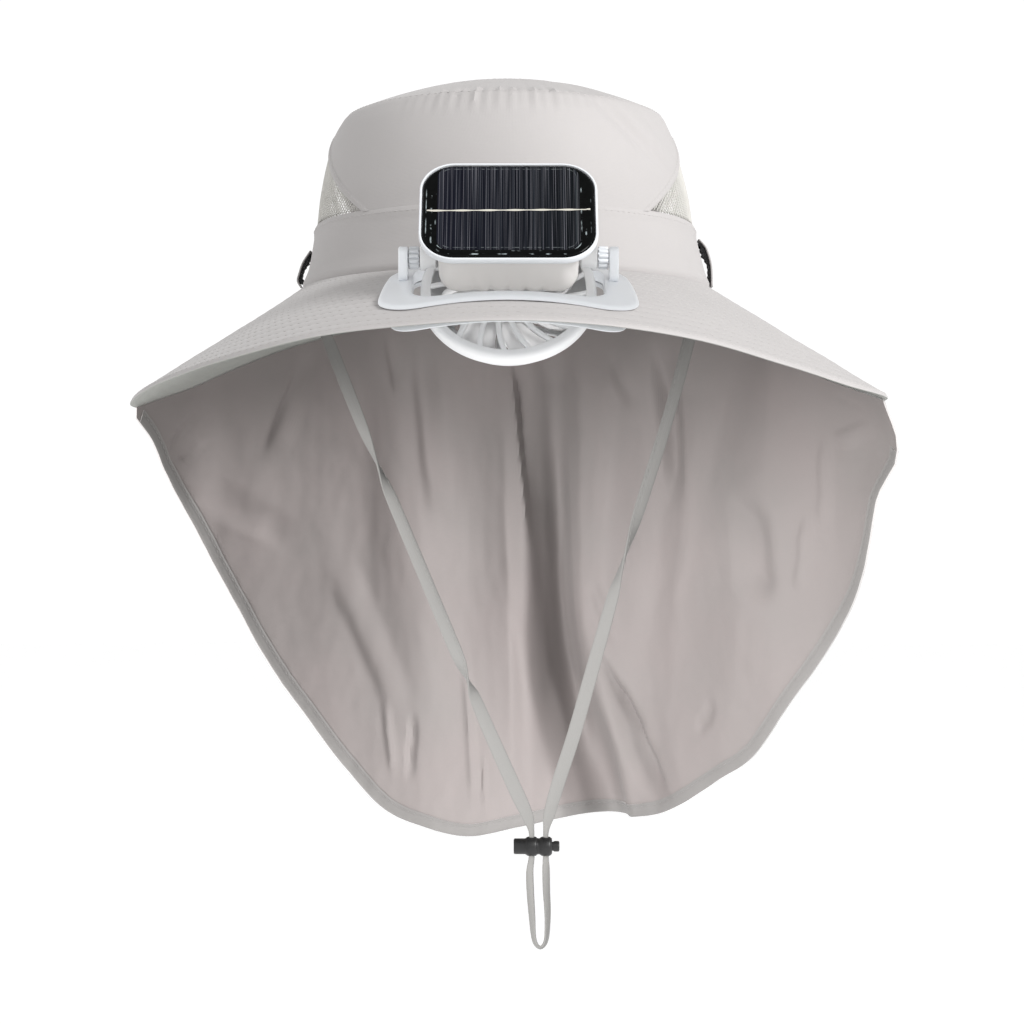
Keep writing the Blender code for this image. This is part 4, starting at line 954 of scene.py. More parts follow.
# %% The flap's creases
# Where each crease starts and ends, as shares of the way round and of the flap's length, then
# its half width and height in metres, and from 0 to 1 how sharp its left side is, going down
CREASES = (
    (0.200, -0.03, 0.146, 0.25, 0.0130, 0.0042, 0.55),
    (0.100, 0.00, 0.044, 0.12, 0.0050, 0.0016, 0.50),
    (0.060, 0.16, 0.085, 0.13, 0.0040, 0.0010, 0.30),
    (0.070, 0.23, 0.180, 0.46, 0.0110, -0.0015, 0.45),
    (0.095, 0.34, 0.150, 0.40, 0.0080, 0.0009, 0.20),
    (0.300, 0.00, 0.330, 0.16, 0.0100, 0.0035, 0.60),
    (0.352, -0.02, 0.385, 0.50, 0.0150, 0.0038, 0.35),
    (0.222, 0.50, 0.338, 0.96, 0.0150, 0.0028, 0.30),
    (0.300, 0.86, 0.318, 1.06, 0.0070, 0.0020, 0.50),
    (0.345, 0.90, 0.338, 1.08, 0.0070, -0.0020, 0.50),
    (0.420, 0.78, 0.436, 1.16, 0.0080, 0.0016, 0.50),
    (0.450, 1.02, 0.452, 1.16, 0.0040, 0.0010, 0.50),
    (0.492, 0.02, 0.530, 0.58, 0.0200, 0.0062, 0.93),
    (0.530, 0.46, 0.543, 0.95, 0.0220, 0.0060, 0.93),
    (0.548, 0.16, 0.580, 1.14, 0.0150, 0.0066, 0.20),
    (0.715, -0.05, 0.735, 0.44, 0.0190, 0.0062, 0.55),
    (0.640, 0.05, 0.690, 0.20, 0.0100, 0.0016, 0.30),
    (0.845, 0.30, 0.855, 0.58, 0.0170, 0.0050, 0.10),
    (0.742, 1.12, 0.612, 0.74, 0.0180, 0.0060, 0.75),
    (0.615, 0.60, 0.655, 0.76, 0.0090, 0.0020, 0.50),
    (0.700, 0.95, 0.645, 0.84, 0.0090, 0.0022, 0.40),
    (0.925, 0.10, 0.918, 0.36, 0.0050, -0.0014, 0.40),
    (0.908, 0.30, 0.896, 0.52, 0.0050, -0.0015, 0.40),
    (0.925, 0.02, 0.985, 0.05, 0.0040, 0.0012, 0.60),
    (0.975, 0.06, 0.930, 0.13, 0.0060, -0.0016, 0.40),
    (0.800, 0.82, 0.770, 0.92, 0.0060, 0.0016, 0.40),
)


# %% The flap's surface
WIDE_CRUMPLE = 0.0007
FINE_CRUMPLE = 0.0003
CREASE_WANDER = 0.0012


def crease_height(share, depth):
    """How far the creases push the cloth out: each is a straight run with two unlike sides."""
    outward = 0.0
    wide = FLAP_CUT_WIDTH
    for start, start_depth, end, end_depth, half, height, sharp in CREASES:
        run_x = (end - start) * wide
        run_y = (end_depth - start_depth) * FLAP_LENGTH
        length = math.hypot(run_x, run_y)
        x = (share - start) * wide
        y = (depth - start_depth) * FLAP_LENGTH
        along = (x * run_x + y * run_y) / length ** 2
        if not 0.0 < along < 1.0:
            continue
        across = (x * run_y - y * run_x) / length
        across += CREASE_WANDER * ripple(along * 3.0, start * 31.0)
        reach = half if across > 0.0 else half * (1.0 - 0.86 * sharp)
        if abs(across) < reach:
            taper = min(along, 1.0 - along) / 0.30
            outward += height * bump(across / reach) * (1.0 - bump(min(taper, 1.0)))
    return outward


def flap_turn(share):
    """The turn from the front, in degrees, at a share of the way round."""
    whole = 360.0 - FLAP_LEFT_CORNER - FLAP_RIGHT_CORNER
    return -FLAP_LEFT_CORNER - whole * share


def flap_fold(share, depth):
    """How far the folds push the cloth out at a share of the way round and of the length."""
    outward = 0.0
    for place, half, size, start, end, lean in FLAP_FOLDS:
        middle = place + lean * depth
        length = bump((depth - (start + end) / 2) / ((end - start) * 0.62))
        outward += FLAP_FOLD_DEPTH * size * bump((share - middle) / (half * 1.6)) * length
    return outward * min(depth * 7.0, 1.0)


def flap_point(share, down):
    """Outside of the flap: down is 0 at its seam under the brim and 1 at the hem."""
    x, y, z = brim_point(flap_turn(share), smooth_value(FLAP_SECTIONS, share, 1))
    top = z - BRIM_CLOTH - FLAP_GAP
    hem = -BRIM_SIDE_DROP - FLAP_LENGTH * smooth_value(FLAP_SECTIONS, share, 2)
    height = top + (min(hem, top - 0.004) - top) * down
    depth = (top - height) / FLAP_LENGTH
    scale = 1.0 + FLAP_FLARE * depth
    crumple = WIDE_CRUMPLE * ripple(share * 15.0, depth * 5.0)
    crumple += FINE_CRUMPLE * ripple(share * 60.0, depth * 19.0, 4.0)
    slack = min(depth * 7.0, 1.0)
    outward = flap_fold(share, depth) + slack * (crease_height(share, depth) + crumple)
    grown = 1.0 + outward / math.hypot(x, y)
    return (x * scale * grown, y * scale * grown, height)


# %% The flap and its hem
FLAP_COLUMNS = 300
FLAP_ROWS = 96
UNDER_THE_CROWN = (0.0, 0.0, -0.12)
flap_outside = surface_grid(
    flap_point, steps(0.0, 1.0, FLAP_COLUMNS), steps(0.0, 1.0, FLAP_ROWS)
)
flap_inside = pushed(flap_outside, -FLAP_CLOTH, UNDER_THE_CROWN)
flap = wall("neck_flap_cloth", flap_outside, flap_inside, [grey_cloth, flap_inner_cloth_and_shade])
stands_for(flap, "neck_flap")

# %% [markdown]
# The hem is the edge folded over twice and sewn, so it is thicker and keeps its own line. It
# has to run at one distance from the edge, across a surface that leans and folds. So each of
# its points walks in from the edge over the flap's own surface, in small steps.

# %% The hem
HEM_STEPS = 8
HEM_SWELL = 0.00042
HEM_THINNEST = 0.00008


def flap_place(spot):
    """The flap's point at a share of the way round and down, kept within its edges."""
    return np.array(flap_point(*[min(max(part, 0.0), 1.0) for part in spot]))


def walk_in(share, distance_step, count):
    """Places on the flap at equal steps in from the hem, at right angles to its edge."""
    small = 1e-3
    spot = [share, 1.0]
    places = [tuple(spot)]
    tangent = flap_place((share + small, 1.0)) - flap_place((share - small, 1.0))
    tangent /= np.linalg.norm(tangent)
    for _ in range(count):
        low, high = max(spot[0] - small, 0.0), min(spot[0] + small, 1.0)
        across = (flap_place((high, spot[1])) - flap_place((low, spot[1]))) / (high - low)
        down = (flap_place(spot) - flap_place((spot[0], spot[1] - small))) / small
        normal = np.cross(across, down)
        inward = np.cross(tangent, normal / np.linalg.norm(normal)) * distance_step
        inward *= -1.0 if inward.dot(down) > 0.0 else 1.0
        move = np.linalg.lstsq(np.stack([across, down], axis=1), inward, rcond=None)[0]
        spot = [min(max(spot[k] + move[k], 0.0), 1.0) for k in (0, 1)]
        places.append(tuple(spot))
    return places


def hem_profile(across):
    """The hem's thickness from its edge, 0, to its seam, 1, where the stitches pull it in."""
    round_edge = math.sqrt(max(1.0 - (1.0 - min(across / 0.25, 1.0)) ** 2, 0.0))
    return max(HEM_SWELL * (round_edge - 0.75 * bump((across - 0.82) / 0.16)), HEM_THINNEST)


hem_shares = steps(0.004, 0.996, 330)
hem_walks = [walk_in(share, HEM_WIDTH / HEM_STEPS, HEM_STEPS) for share in hem_shares]
hem_middle = np.array([
    [flap_point(*walk[row]) for walk in hem_walks] for row in range(HEM_STEPS + 1)
])
hem_profiles = np.array([hem_profile(v) for v in np.linspace(0.0, 1.0, HEM_STEPS + 1)])
hem_height = hem_profiles[:, None] * np.ones((1, len(hem_shares)))
hem_outside = pushed(hem_middle, hem_height, UNDER_THE_CROWN)
hem_inside = pushed(hem_middle, -FLAP_CLOTH - hem_height, UNDER_THE_CROWN)
# The hem's inner face is the flap's grey outer cloth turned up, given a darker colour: painted shade.
hem_inside_painted_shade = cloth_finish("hem_inside_painted_shade", (0.196, 0.187, 0.181), (0.160, 0.153, 0.148), 0.08)
hem = wall("flap_hem", hem_outside, hem_inside, [grey_cloth, hem_inside_painted_shade], angle=60.0)

# %% The hem's stitches
HEM_STITCH_ROW = 6
outward = (hem_outside - hem_inside)[HEM_STITCH_ROW]
hem_stitches = [
    stitch_row("hem_stitches_inside", hem_inside[HEM_STITCH_ROW], -outward, flap_thread_painted_shade),
    stitch_row("hem_stitches_outside", hem_outside[HEM_STITCH_ROW], outward, flap_thread_painted_shade),
]

# %% [markdown]
# ## Stitches on the crown and the brim
# A row runs just below the band's top edge, one beside the tip's seam, one along each edge of
# the vents, and a row in every dip of the brim. Rows on the brim leave out the slot.

# %% Rows on the crown
BAND_STITCH_ROW = 24
TIP_STITCH_ROW = 41
VENT_STITCHES_BELOW_APEX = 0.001
BELOW_THE_HAT = (0.0, 0.0, -1.0)


def ring_row(name, grid, row, middle, level=False):
    """Stitches along one row of a closed grid."""
    ups = pushed(grid, 1.0, middle, level=level, closed=True)[row] - grid[row]
    return stitch_row(name, grid[row], ups, hat_thread)


ring_row("band_stitches", band_outside, BAND_STITCH_ROW, HEAD_MIDDLE, level=True)
ring_row("tip_stitches", tip_outside, TIP_STITCH_ROW, BELOW_THE_HAT)
for name, grid in panel_edges.items():
    ups = pushed(grid, 1.0, HEAD_MIDDLE, level=True) - grid
    in_from_edge = 4 if name == "crown_front_panel" else 2
    top = VENT_APEX_HEIGHT - VENT_STITCHES_BELOW_APEX
    count = sum(1 for row in grid if row[0, 2] < top)
    for word, column in (("left", in_from_edge), ("right", -1 - in_from_edge)):
        row_name = f"{name}_{word}_stitches"
        stitch_row(row_name, grid[:count, column], ups[:count, column], hat_thread)


# %% Rows on the brim
BRIM_STITCH_LENGTH = 0.0027
BRIM_STITCH_GAP = 0.0013
# How high the middle of each of a stitch's three rings stands, and its share of the radius
BRIM_STITCH_RINGS = ((-0.00003, 0.6), (0.00008, 1.0), (-0.00003, 0.6))


def on_slot(place, margin=0.004):
    """Whether a place lies on the slot or within a margin of it."""
    beside = abs(place[0]) < SLOT_HALF_WIDTH + margin
    return beside and SLOT_FRONT - margin < place[1] < SLOT_BACK + margin


brim_stitches = bmesh.new()
for stitch_line in range(1, STITCH_ROWS + 1):
    line = brim_top[stitch_line * 4 if stitch_line < STITCH_ROWS else -2]
    travelled = lengths_along(line)
    start = 0.0
    while start + BRIM_STITCH_LENGTH < travelled[-1]:
        distances = steps(start, start + BRIM_STITCH_LENGTH, 2)
        ends = [Vector([np.interp(d, travelled, line[:, k]) for k in range(3)]) for d in distances]
        start += BRIM_STITCH_LENGTH + BRIM_STITCH_GAP
        if on_slot(ends[1]):
            continue
        along = (ends[2] - ends[0]).normalized()
        side = along.cross(Vector((0.0, 0.0, 1.0))).normalized()
        up = side.cross(along)
        rings = []
        for place, (lift, share) in zip(ends, BRIM_STITCH_RINGS):
            thick = STITCH_RADIUS * share
            rings.append(oval_ring(brim_stitches, place + up * lift, side, up, thick, thick, 5))
        bridge(brim_stitches, rings)
brim_thread = show("brim_stitches", brim_stitches, [hat_thread], 60.0)
print("brim stitches:", len(brim_thread.data.polygons), "faces")

# %% [markdown]
# ## The side loops
# At each side a loop of the hat's cloth stands off the band, with a gathered black elastic
# just inside it, for sunglasses or for drawing the hat in. Both are short strips bent away
# from the band; the elastic has a ridge for every gather.

# %% The loops and their elastic
TAB_WIDTH = 0.013
TAB_CLOTH = 0.0009
TAB_STAND_OFF = 0.0044
TAB_FOOT = 0.0012
TAB_CLEAR = 0.0004
TAB_TOPS = {-1.0: 0.0165, 1.0: 0.0215}
ELASTIC_SHARE = 0.7
ELASTIC_GATHERS = 9

# Height share of the loop, then how far the loop and the elastic stand, as shares of the
# stand-off: loop left, elastic thickness left, loop right, elastic thickness right
TAB_SECTIONS = (
    (0.00, 0.34, 0.16, 0.34, 0.16),
    (0.14, 0.84, 0.42, 0.62, 0.20),
    (0.30, 1.00, 0.14, 0.86, 0.14),
    (0.50, 0.98, 0.12, 1.00, 0.14),
    (0.68, 0.86, 0.36, 0.98, 0.50),
    (0.84, 0.62, 0.24, 0.86, 0.46),
    (1.00, 0.34, 0.14, 0.40, 0.16),
)
elastic_finish, elastic_tree, elastic_shader = speckled_finish(
    "black_elastic", (0.008, 0.008, 0.009), (0.030, 0.030, 0.032), 700.0, 0.75, 0.1
)
elastic_ridges = threads(elastic_tree, flat_axes(elastic_tree)[0], 0.0008)
raise_bump(elastic_tree, elastic_shader, elastic_ridges, 0.0002, 0.8)


def tab_point(side, share, along, stand):
    """A point that stands off the band at the side: along runs front to back in metres."""
    height = TAB_FOOT + (TAB_TOPS[side] - TAB_FOOT) * share
    turn = side * (90.0 - math.degrees(along / HEAD_HALF_DEPTH))
    x, y, z = crown_point(turn, height, relief=False)
    return (x + side * stand, y, z)


for side, word in ((-1.0, "left"), (1.0, "right")):
    column = 3 if side > 0 else 1
    places = steps(-TAB_WIDTH / 2, TAB_WIDTH / 2, 12)
    outer, inner = [], []
    for share in steps(0.0, 1.0, 36):
        stand = TAB_STAND_OFF * smooth_value(TAB_SECTIONS, share, column)
        stand = max(stand, TAB_CLOTH + TAB_CLEAR)
        edges = [0.25 * TAB_CLOTH * (2.0 * place / TAB_WIDTH) ** 6 for place in places]
        outer.append([tab_point(side, share, p, stand - edge) for p, edge in zip(places, edges)])
        stand -= TAB_CLOTH
        inner.append([tab_point(side, share, p, stand + edge) for p, edge in zip(places, edges)])
    loop = wall(f"side_loop_{word}", np.array(outer), np.array(inner), [grey_cloth])
    stands_for(loop, f"side_tab_{word}")
    outer, inner = [], []
    places = [place * ELASTIC_SHARE for place in places]
    for share in steps(0.1, 0.92, 54):
        stand = TAB_STAND_OFF * smooth_value(TAB_SECTIONS, share, column) - TAB_CLOTH - SEAT_GAP
        thick = TAB_STAND_OFF * smooth_value(TAB_SECTIONS, share, column + 1)
        thick = min(thick, stand - SEAT_GAP)
        thick *= 0.80 + 0.20 * math.cos(2 * math.pi * ELASTIC_GATHERS * share)
        outer.append([tab_point(side, share, place, stand) for place in places])
        inner.append([tab_point(side, share, place, stand - thick) for place in places])
    elastic = wall(f"elastic_{word}", np.array(outer), np.array(inner), [elastic_finish])
    stands_for(elastic, f"side_elastic_{word}")

# %% [markdown]
# ## Moulded plastics
# The fan, its plates and its box are moulded in glossy white plastic, the blades in grey and
# the cord lock in black. The whites differ: the cage's and the frame plate's are painted lighter
# than the rest, as painted light, the plate's also cool, and the box's is warmer and darker. A
# moulding is never one flat white: handling dulls its gloss in patches, wide faces sink a
# little, and the mould leaves a grain. Three sizes of noise do that.

# %% Plastic and steel
def plastic_finish(name, light, dark, rough, handled=0.14):
    material, tree, shader = new_finish(name)
    colour = blend_colours(tree, cloud(tree, 45.0, 3.0), dark, light)
    tree.links.new(colour, shader.inputs["Base Color"])
    gloss = value_of(tree, "MULTIPLY_ADD", cloud(tree, 420.0, 4.0), handled, rough - handled / 2)
    tree.links.new(gloss, shader.inputs["Roughness"])
    grain = raise_bump(tree, shader, cloud(tree, 2400.0, 2.0), 0.00003, 0.3)
    raise_bump(tree, shader, cloud(tree, 120.0, 1.0), 0.00015, 0.2, grain)
    return material


# The cage's and the frame plate's whites are painted lighter than the rest: painted light.
COOL_WHITE = ((0.680, 0.700, 0.725), (0.632, 0.650, 0.674))
CAGE_WHITE_PAINTED_LIGHT = ((0.790, 0.795, 0.800), (0.745, 0.750, 0.755))
WARM_WHITE = ((0.610, 0.590, 0.572), (0.568, 0.549, 0.532))
PLATE_WHITE_PAINTED_LIGHT = ((0.900, 0.925, 0.955), (0.850, 0.875, 0.905))
BLADE_GREY = ((0.690, 0.685, 0.685), (0.640, 0.636, 0.636))
LOCK_BLACK = ((0.011, 0.011, 0.012), (0.006, 0.006, 0.006))
STEEL_GREY = ((0.56, 0.56, 0.57), (0.44, 0.44, 0.45))
white_plastic = plastic_finish("cool_white_plastic", *COOL_WHITE, 0.34)
cage_plastic_painted_light = plastic_finish("cage_white_painted_light", *CAGE_WHITE_PAINTED_LIGHT, 0.34)
box_plastic = plastic_finish("warm_box_plastic", *WARM_WHITE, 0.36)
plate_plastic_painted_light = plastic_finish("cool_plate_white_painted_light", *PLATE_WHITE_PAINTED_LIGHT, 0.34)
blade_plastic = plastic_finish("grey_fan_blades", *BLADE_GREY, 0.50)
lock_plastic = plastic_finish("black_lock_plastic", *LOCK_BLACK, 0.42, 0.2)
steel_finish = plastic_finish("motor_can_steel", *STEEL_GREY, 0.32, 0.2)
set_levels(steel_finish.node_tree.nodes["Principled BSDF"], Metallic=1.0)

# %% [markdown]
# ## The two plates
# The fan stands in a frame plate that lies on the brim and grips it against a second plate
# underneath. Both follow the brim's slope, so each is a section carried round two outlines,
# the slot's and the plate's own, with the brim's height added at every point. Distances are
# counted from the slot where they are positive and from the outer edge where they are negative.

# %% The plates' sizes
PIVOT_FORWARD = 0.033
PIVOT_HEIGHT = -0.0005
OPENING_HALF_WIDTH = 0.036
OPENING_BACK = 0.0115
OPENING_FRONT = 0.0642
OPENING_CORNER = 0.012
PLATE_BACK = 0.0060
UNDER_UPPER = SEAT_GAP
UPPER_TOP = SEAT_GAP + 0.0018
COLLAR_FOOT = -BRIM_CLOTH - SEAT_GAP
LOWER_TOP = -BRIM_CLOTH - 0.0007

# Distance and height of each corner of the section, going round it once
UPPER_SECTION = (
    (0.0000, COLLAR_FOOT),
    (0.0000, UPPER_TOP - 0.0007),
    (0.0002, UPPER_TOP - 0.0002),
    (0.0007, UPPER_TOP),
    (0.0030, UPPER_TOP - 0.0001),
    (-0.0022, UPPER_TOP - 0.0001),
    (-0.0012, UPPER_TOP - 0.0001),
    (-0.0005, UPPER_TOP - 0.0003),
    (-0.0001, UPPER_TOP - 0.0008),
    (-0.0000001, UNDER_UPPER + 0.0003),
    (-0.0003, UNDER_UPPER),
    (0.0014, UNDER_UPPER),
    (0.0012, UNDER_UPPER - 0.0002),
    (0.0012, COLLAR_FOOT + 0.0002),
    (0.0010, COLLAR_FOOT),
)
LOWER_SECTION = (
    (0.0000, LOWER_TOP - 0.0016),
    (0.0000, LOWER_TOP - 0.0003),
    (0.0003, LOWER_TOP),
    (-0.0004, LOWER_TOP),
    (-0.0000001, LOWER_TOP - 0.0004),
    (-0.0000001, LOWER_TOP - 0.0022),
    (-0.0003, LOWER_TOP - 0.0026),
    (-0.0010, LOWER_TOP - 0.0026),
    (-0.0014, LOWER_TOP - 0.0023),
    (-0.0015, LOWER_TOP - 0.0018),
    (0.0003, LOWER_TOP - 0.0018),
)


# %% Carrying a section round
def brim_height(x, y):
    """Height of the brim's top in front of the crown at a place in plan."""
    low, high = 0.0, 1.0
    side = 90.0 if x > 0 else -90.0
    for _ in range(24):
        middle = (low + high) / 2
        wide = brim_point(side, middle)[0]
        deep = brim_point(0.0, middle)[1]
        if (x / wide) ** 2 + (y / deep) ** 2 > 1.0:
            low = middle
        else:
            high = middle
    return brim_point(math.degrees(math.atan2(x / abs(wide), y / deep)), middle)[2]


def even_outline(half_x, half_y, corner, middle_y, narrowing=0.0, side_pieces=12):
    """A rounded rectangle with points along its sides too, narrower at its back."""
    points = rounded_outline(half_x, half_y, corner, 12)
    filled = []
    for i, (x, y) in enumerate(points):
        ahead = points[(i + 1) % len(points)]
        pieces = side_pieces if i % 13 == 12 else 1
        for k in range(pieces):
            px = x + (ahead[0] - x) * k / pieces
            py = y + (ahead[1] - y) * k / pieces
            share = (py + half_y) / (2 * half_y)
            filled.append((px * (1.0 - narrowing * share * share), py + middle_y))
    return filled


def plate_mesh(half_width, front, corner, narrowing, section):
    """A section carried between the opening's outline and the plate's own."""
    slot_middle = -HEAD_HALF_DEPTH - (OPENING_FRONT + OPENING_BACK) / 2
    slot_half = (OPENING_FRONT - OPENING_BACK) / 2
    inner = even_outline(OPENING_HALF_WIDTH, slot_half, OPENING_CORNER, slot_middle)
    own_middle = -HEAD_HALF_DEPTH - (front + PLATE_BACK) / 2
    outer = even_outline(half_width, (front - PLATE_BACK) / 2, corner, own_middle, narrowing)
    mesh = bmesh.new()
    rings = []
    for distance, height in section:
        ring = []
        for (ax, ay), (bx, by) in zip(inner, outer):
            share = distance / math.hypot(bx - ax, by - ay)
            share += 1.0 if distance < 0.0 else 0.0
            x, y = ax + (bx - ax) * share, ay + (by - ay) * share
            ring.append(mesh.verts.new((x, y, brim_height(x, y) + height)))
        rings.append(ring)
    return bridge(mesh, rings, capped=False)


# %% [markdown]
# The two posts stand on the upper plate, one at each side of the slot. Each has a hole for the
# drum's pin, so its mesh goes round the outside and back through the hole.

# %% The posts
POST_INNER = 0.0379
POST_THICKNESS = 0.0036
POST_WIDTH = 0.0085
POST_RISE = 0.0041
POST_CORNER = 0.0028
POST_EDGE = 0.0006
POST_SUNK = 0.0009
PIN_HOLE = 0.0017
PIVOT_Y = -HEAD_HALF_DEPTH - PIVOT_FORWARD


def post_mesh(side):
    """One post with rounded edges: rings round its outside, then two round its hole."""
    middle = side * (POST_INNER + POST_THICKNESS / 2)
    foot = brim_height(middle, PIVOT_Y) + UPPER_TOP - POST_SUNK
    top = PIVOT_HEIGHT + POST_RISE
    half = POST_THICKNESS / 2
    edge = POST_EDGE
    soft = POST_EDGE * 0.3
    sections = ((edge, -half), (soft, soft - half), (0.0, edge - half), (0.0, half - edge))
    sections += ((soft, half - soft), (edge, half), (None, half), (None, -half))
    mesh = bmesh.new()
    rings = []
    for inset, x in sections:
        ring = []
        shrink = inset or 0.0
        half_rise = (top - foot) / 2 - shrink
        for y, z in rounded_outline(POST_WIDTH / 2 - shrink, half_rise, POST_CORNER - shrink, 8):
            z += (top + foot) / 2 - PIVOT_HEIGHT
            if inset is None:
                reach = math.hypot(y, z)
                y, z = y * PIN_HOLE / reach, z * PIN_HOLE / reach
            ring.append(mesh.verts.new((middle + x, PIVOT_Y + y, PIVOT_HEIGHT + z)))
        rings.append(ring)
    return bridge(mesh, rings, capped=False)


# %% Both plates in the scene
def gathered(meshes, frame=Matrix.Identity(4)):
    """One mesh made of several closed ones, moved into place."""
    whole = bmesh.new()
    for mesh in meshes:
        bmesh.ops.recalc_face_normals(mesh, faces=mesh.faces)
        data = bpy.data.meshes.new("gathered")
        mesh.to_mesh(data)
        mesh.free()
        data.transform(frame)
        whole.from_mesh(data)
        bpy.data.meshes.remove(data)
    return whole


# Each plate's half width, front reach, corner and how much it narrows towards the back
UPPER_SHAPE = (0.0485, 0.0700, 0.0165, 0.10)
LOWER_SHAPE = (0.0430, 0.0765, 0.010, 0.0)
upper_meshes = [plate_mesh(*UPPER_SHAPE, UPPER_SECTION), post_mesh(-1.0), post_mesh(1.0)]
upper_plate = show("frame_plate_upper", gathered(upper_meshes), [plate_plastic_painted_light])
lower_mesh = plate_mesh(*LOWER_SHAPE, LOWER_SECTION)
lower_plate = show("grip_plate_lower", lower_mesh, [white_plastic])
stands_for(upper_plate, "clip_plate_upper")
stands_for(lower_plate, "clip_plate_lower")
for plate in (upper_plate, lower_plate):
    print(plate.name, len(plate.data.polygons), "faces")

# %% [markdown]
# ## The fan's cage
# The fan hangs between the posts and tilts on them. Its cage is a wide ring with twenty curved
# spokes in front and a shallow dome with the same spokes behind. Rings and domes are turned
# from a profile, as on a lathe. A spoke is a rounded bar swept along its curve, and it runs
# into the ring and the hub so that no gap shows.

# %% Turning and sweeping
FAN_LEAN = math.radians(55.0)
FAN_PLACE = Matrix.Translation((0.0, PIVOT_Y, PIVOT_HEIGHT)) @ Matrix.Rotation(FAN_LEAN, 4, "X")
CAGE_BELOW_PIVOT = 0.015
CAGE_PLACE = FAN_PLACE @ Matrix.Translation((0.0, -CAGE_BELOW_PIVOT, 0.0))
CAGE_RADIUS = 0.033
SPOKE_COUNT = 20
SPOKE_WIDTH = 0.0021
SPOKE_SWIRL = -26.0


def turned(profile, around=112, closed=False):
    """A shape of revolution about Z from rows of radius and height."""
    mesh = bmesh.new()
    rings = []
    for radius, height in profile:
        count = around if radius > 1e-6 else 1
        rings.append([
            mesh.verts.new((radius * math.cos(t), radius * math.sin(t), height))
            for t in (2 * math.pi * i / around for i in range(count))
        ])
    following = rings[1:] + rings[:1] if closed else rings[1:]
    for first, second in zip(rings, following):
        for i in range(around):
            j = (i + 1) % around
            near = [first[i % len(first)], first[j % len(first)]]
            far = [second[j % len(second)], second[i % len(second)]]
            corners = list(dict.fromkeys(near + far))
            if len(corners) > 2:
                mesh.faces.new(corners)
    return mesh


# %% Spokes and arcs
def spoke_mesh(turn, start, end, front, back):
    """A rounded bar from one radius to another, on the curve that all spokes share."""
    mesh = bmesh.new()
    rings = []
    forward = Vector((0.0, 0.0, 1.0))
    half = (SPOKE_WIDTH / 2, (front - back) / 2)
    for radius in steps(start, end, 14):
        angle = math.radians(turn + SPOKE_SWIRL * (1.0 - radius / CAGE_RADIUS) - 90.0)
        ahead = math.radians(SPOKE_SWIRL / CAGE_RADIUS * -radius)
        out = Vector((math.cos(angle), math.sin(angle), 0.0))
        round_way = Vector((-math.sin(angle), math.cos(angle), 0.0))
        side = (out + round_way * ahead).normalized().cross(forward)
        centre = out * radius + forward * (front + back) / 2
        rings.append(oval_ring(mesh, centre, side, forward, *half, powers=(0.55, 0.75)))
    return bridge(mesh, rings)


def spoke_ring(start, end, front, back):
    """All the spokes of one face of the cage."""
    turns = [i * 360.0 / SPOKE_COUNT for i in range(SPOKE_COUNT)]
    return [spoke_mesh(turn, start, end, front, back) for turn in turns]


def arc(centre_r, centre_h, radius, start, end, count=5):
    """Rows of a profile round part of a circle, the angles in degrees."""
    turns = steps(math.radians(start), math.radians(end), count)
    return [(centre_r + radius * math.cos(t), centre_h + radius * math.sin(t)) for t in turns]


def fan_piece(name, mesh, finish, node, body="fan_head"):
    """Shows a piece of the fan in place of its CAD solid."""
    return stands_for(show(name, mesh, [finish], body=body), node)


# %% The front of the cage
front_ring = arc(0.0296, -0.0006, 0.0006, 180, 90) + arc(0.0312, -0.0018, 0.0018, 90, 0, 8)
front_ring += [(0.0330, -0.0046), (0.0328, -0.0050), (0.0316, -0.0050), (0.0314, -0.0046)]
front_ring += [(0.0314, -0.0020), (0.0310, -0.0016), (0.0292, -0.0016)]
front_hub = [(0.0, -0.0002), (0.0080, -0.0002), (0.0083, -0.0005), (0.0090, -0.0005)]
front_hub += [(0.0093, -0.0002)] + arc(0.0114, -0.0006, 0.0006, 90, 0)
front_hub += [(0.0120, -0.0013), (0.0117, -0.0016), (0.0, -0.0016)]
BOSS_PROFILE = [(0.0, 0.0272), (0.0046, 0.0272), (0.0049, 0.0275)]
BOSS_PROFILE += arc(0.0041, 0.0326, 0.0008, 0, 90) + [(0.0, 0.0334)]
front_meshes = [turned(front_ring, closed=True), turned(front_hub)]
front_meshes += spoke_ring(0.0108, 0.0302, -0.0001, -0.0016)
for side in (-1.0, 1.0):
    boss = turned(BOSS_PROFILE, 56)
    place = Matrix.Translation((0.0, CAGE_BELOW_PIVOT, 0.0))
    place @= Matrix.Rotation(side * math.radians(90.0), 4, "Y")
    bmesh.ops.transform(boss, matrix=place, verts=boss.verts)
    front_meshes.append(boss)
front_mesh = gathered(front_meshes, CAGE_PLACE)
cage_front = fan_piece("cage_front", front_mesh, cage_plastic_painted_light, "fan_cage_front")

# %% The back of the cage
back_shell = [
    (0.0322, -0.0053), (0.0309, -0.0073), (0.0287, -0.0103), (0.0267, -0.0131),
    (0.0255, -0.0145), (0.0241, -0.0156), (0.0222, -0.0160), (0.0214, -0.0157),
    (0.0214, -0.0148), (0.0221, -0.0144), (0.0233, -0.0142), (0.0244, -0.0134),
    (0.0256, -0.0120), (0.0275, -0.0093), (0.0297, -0.0063), (0.0305, -0.0053),
]
back_hub = [(0.0, -0.0160), (0.0071, -0.0160), (0.0075, -0.0157), (0.0075, -0.0148)]
back_hub += [(0.0072, -0.0145), (0.0, -0.0145)]
back_meshes = [turned(back_shell, closed=True), turned(back_hub)]
back_meshes += spoke_ring(0.0066, 0.0222, -0.0145, -0.0160)
back_mesh = gathered(back_meshes, CAGE_PLACE)
cage_back = fan_piece("cage_back", back_mesh, cage_plastic_painted_light, "fan_cage_back")
print("cage:", len(cage_front.data.polygons) + len(cage_back.data.polygons), "faces")

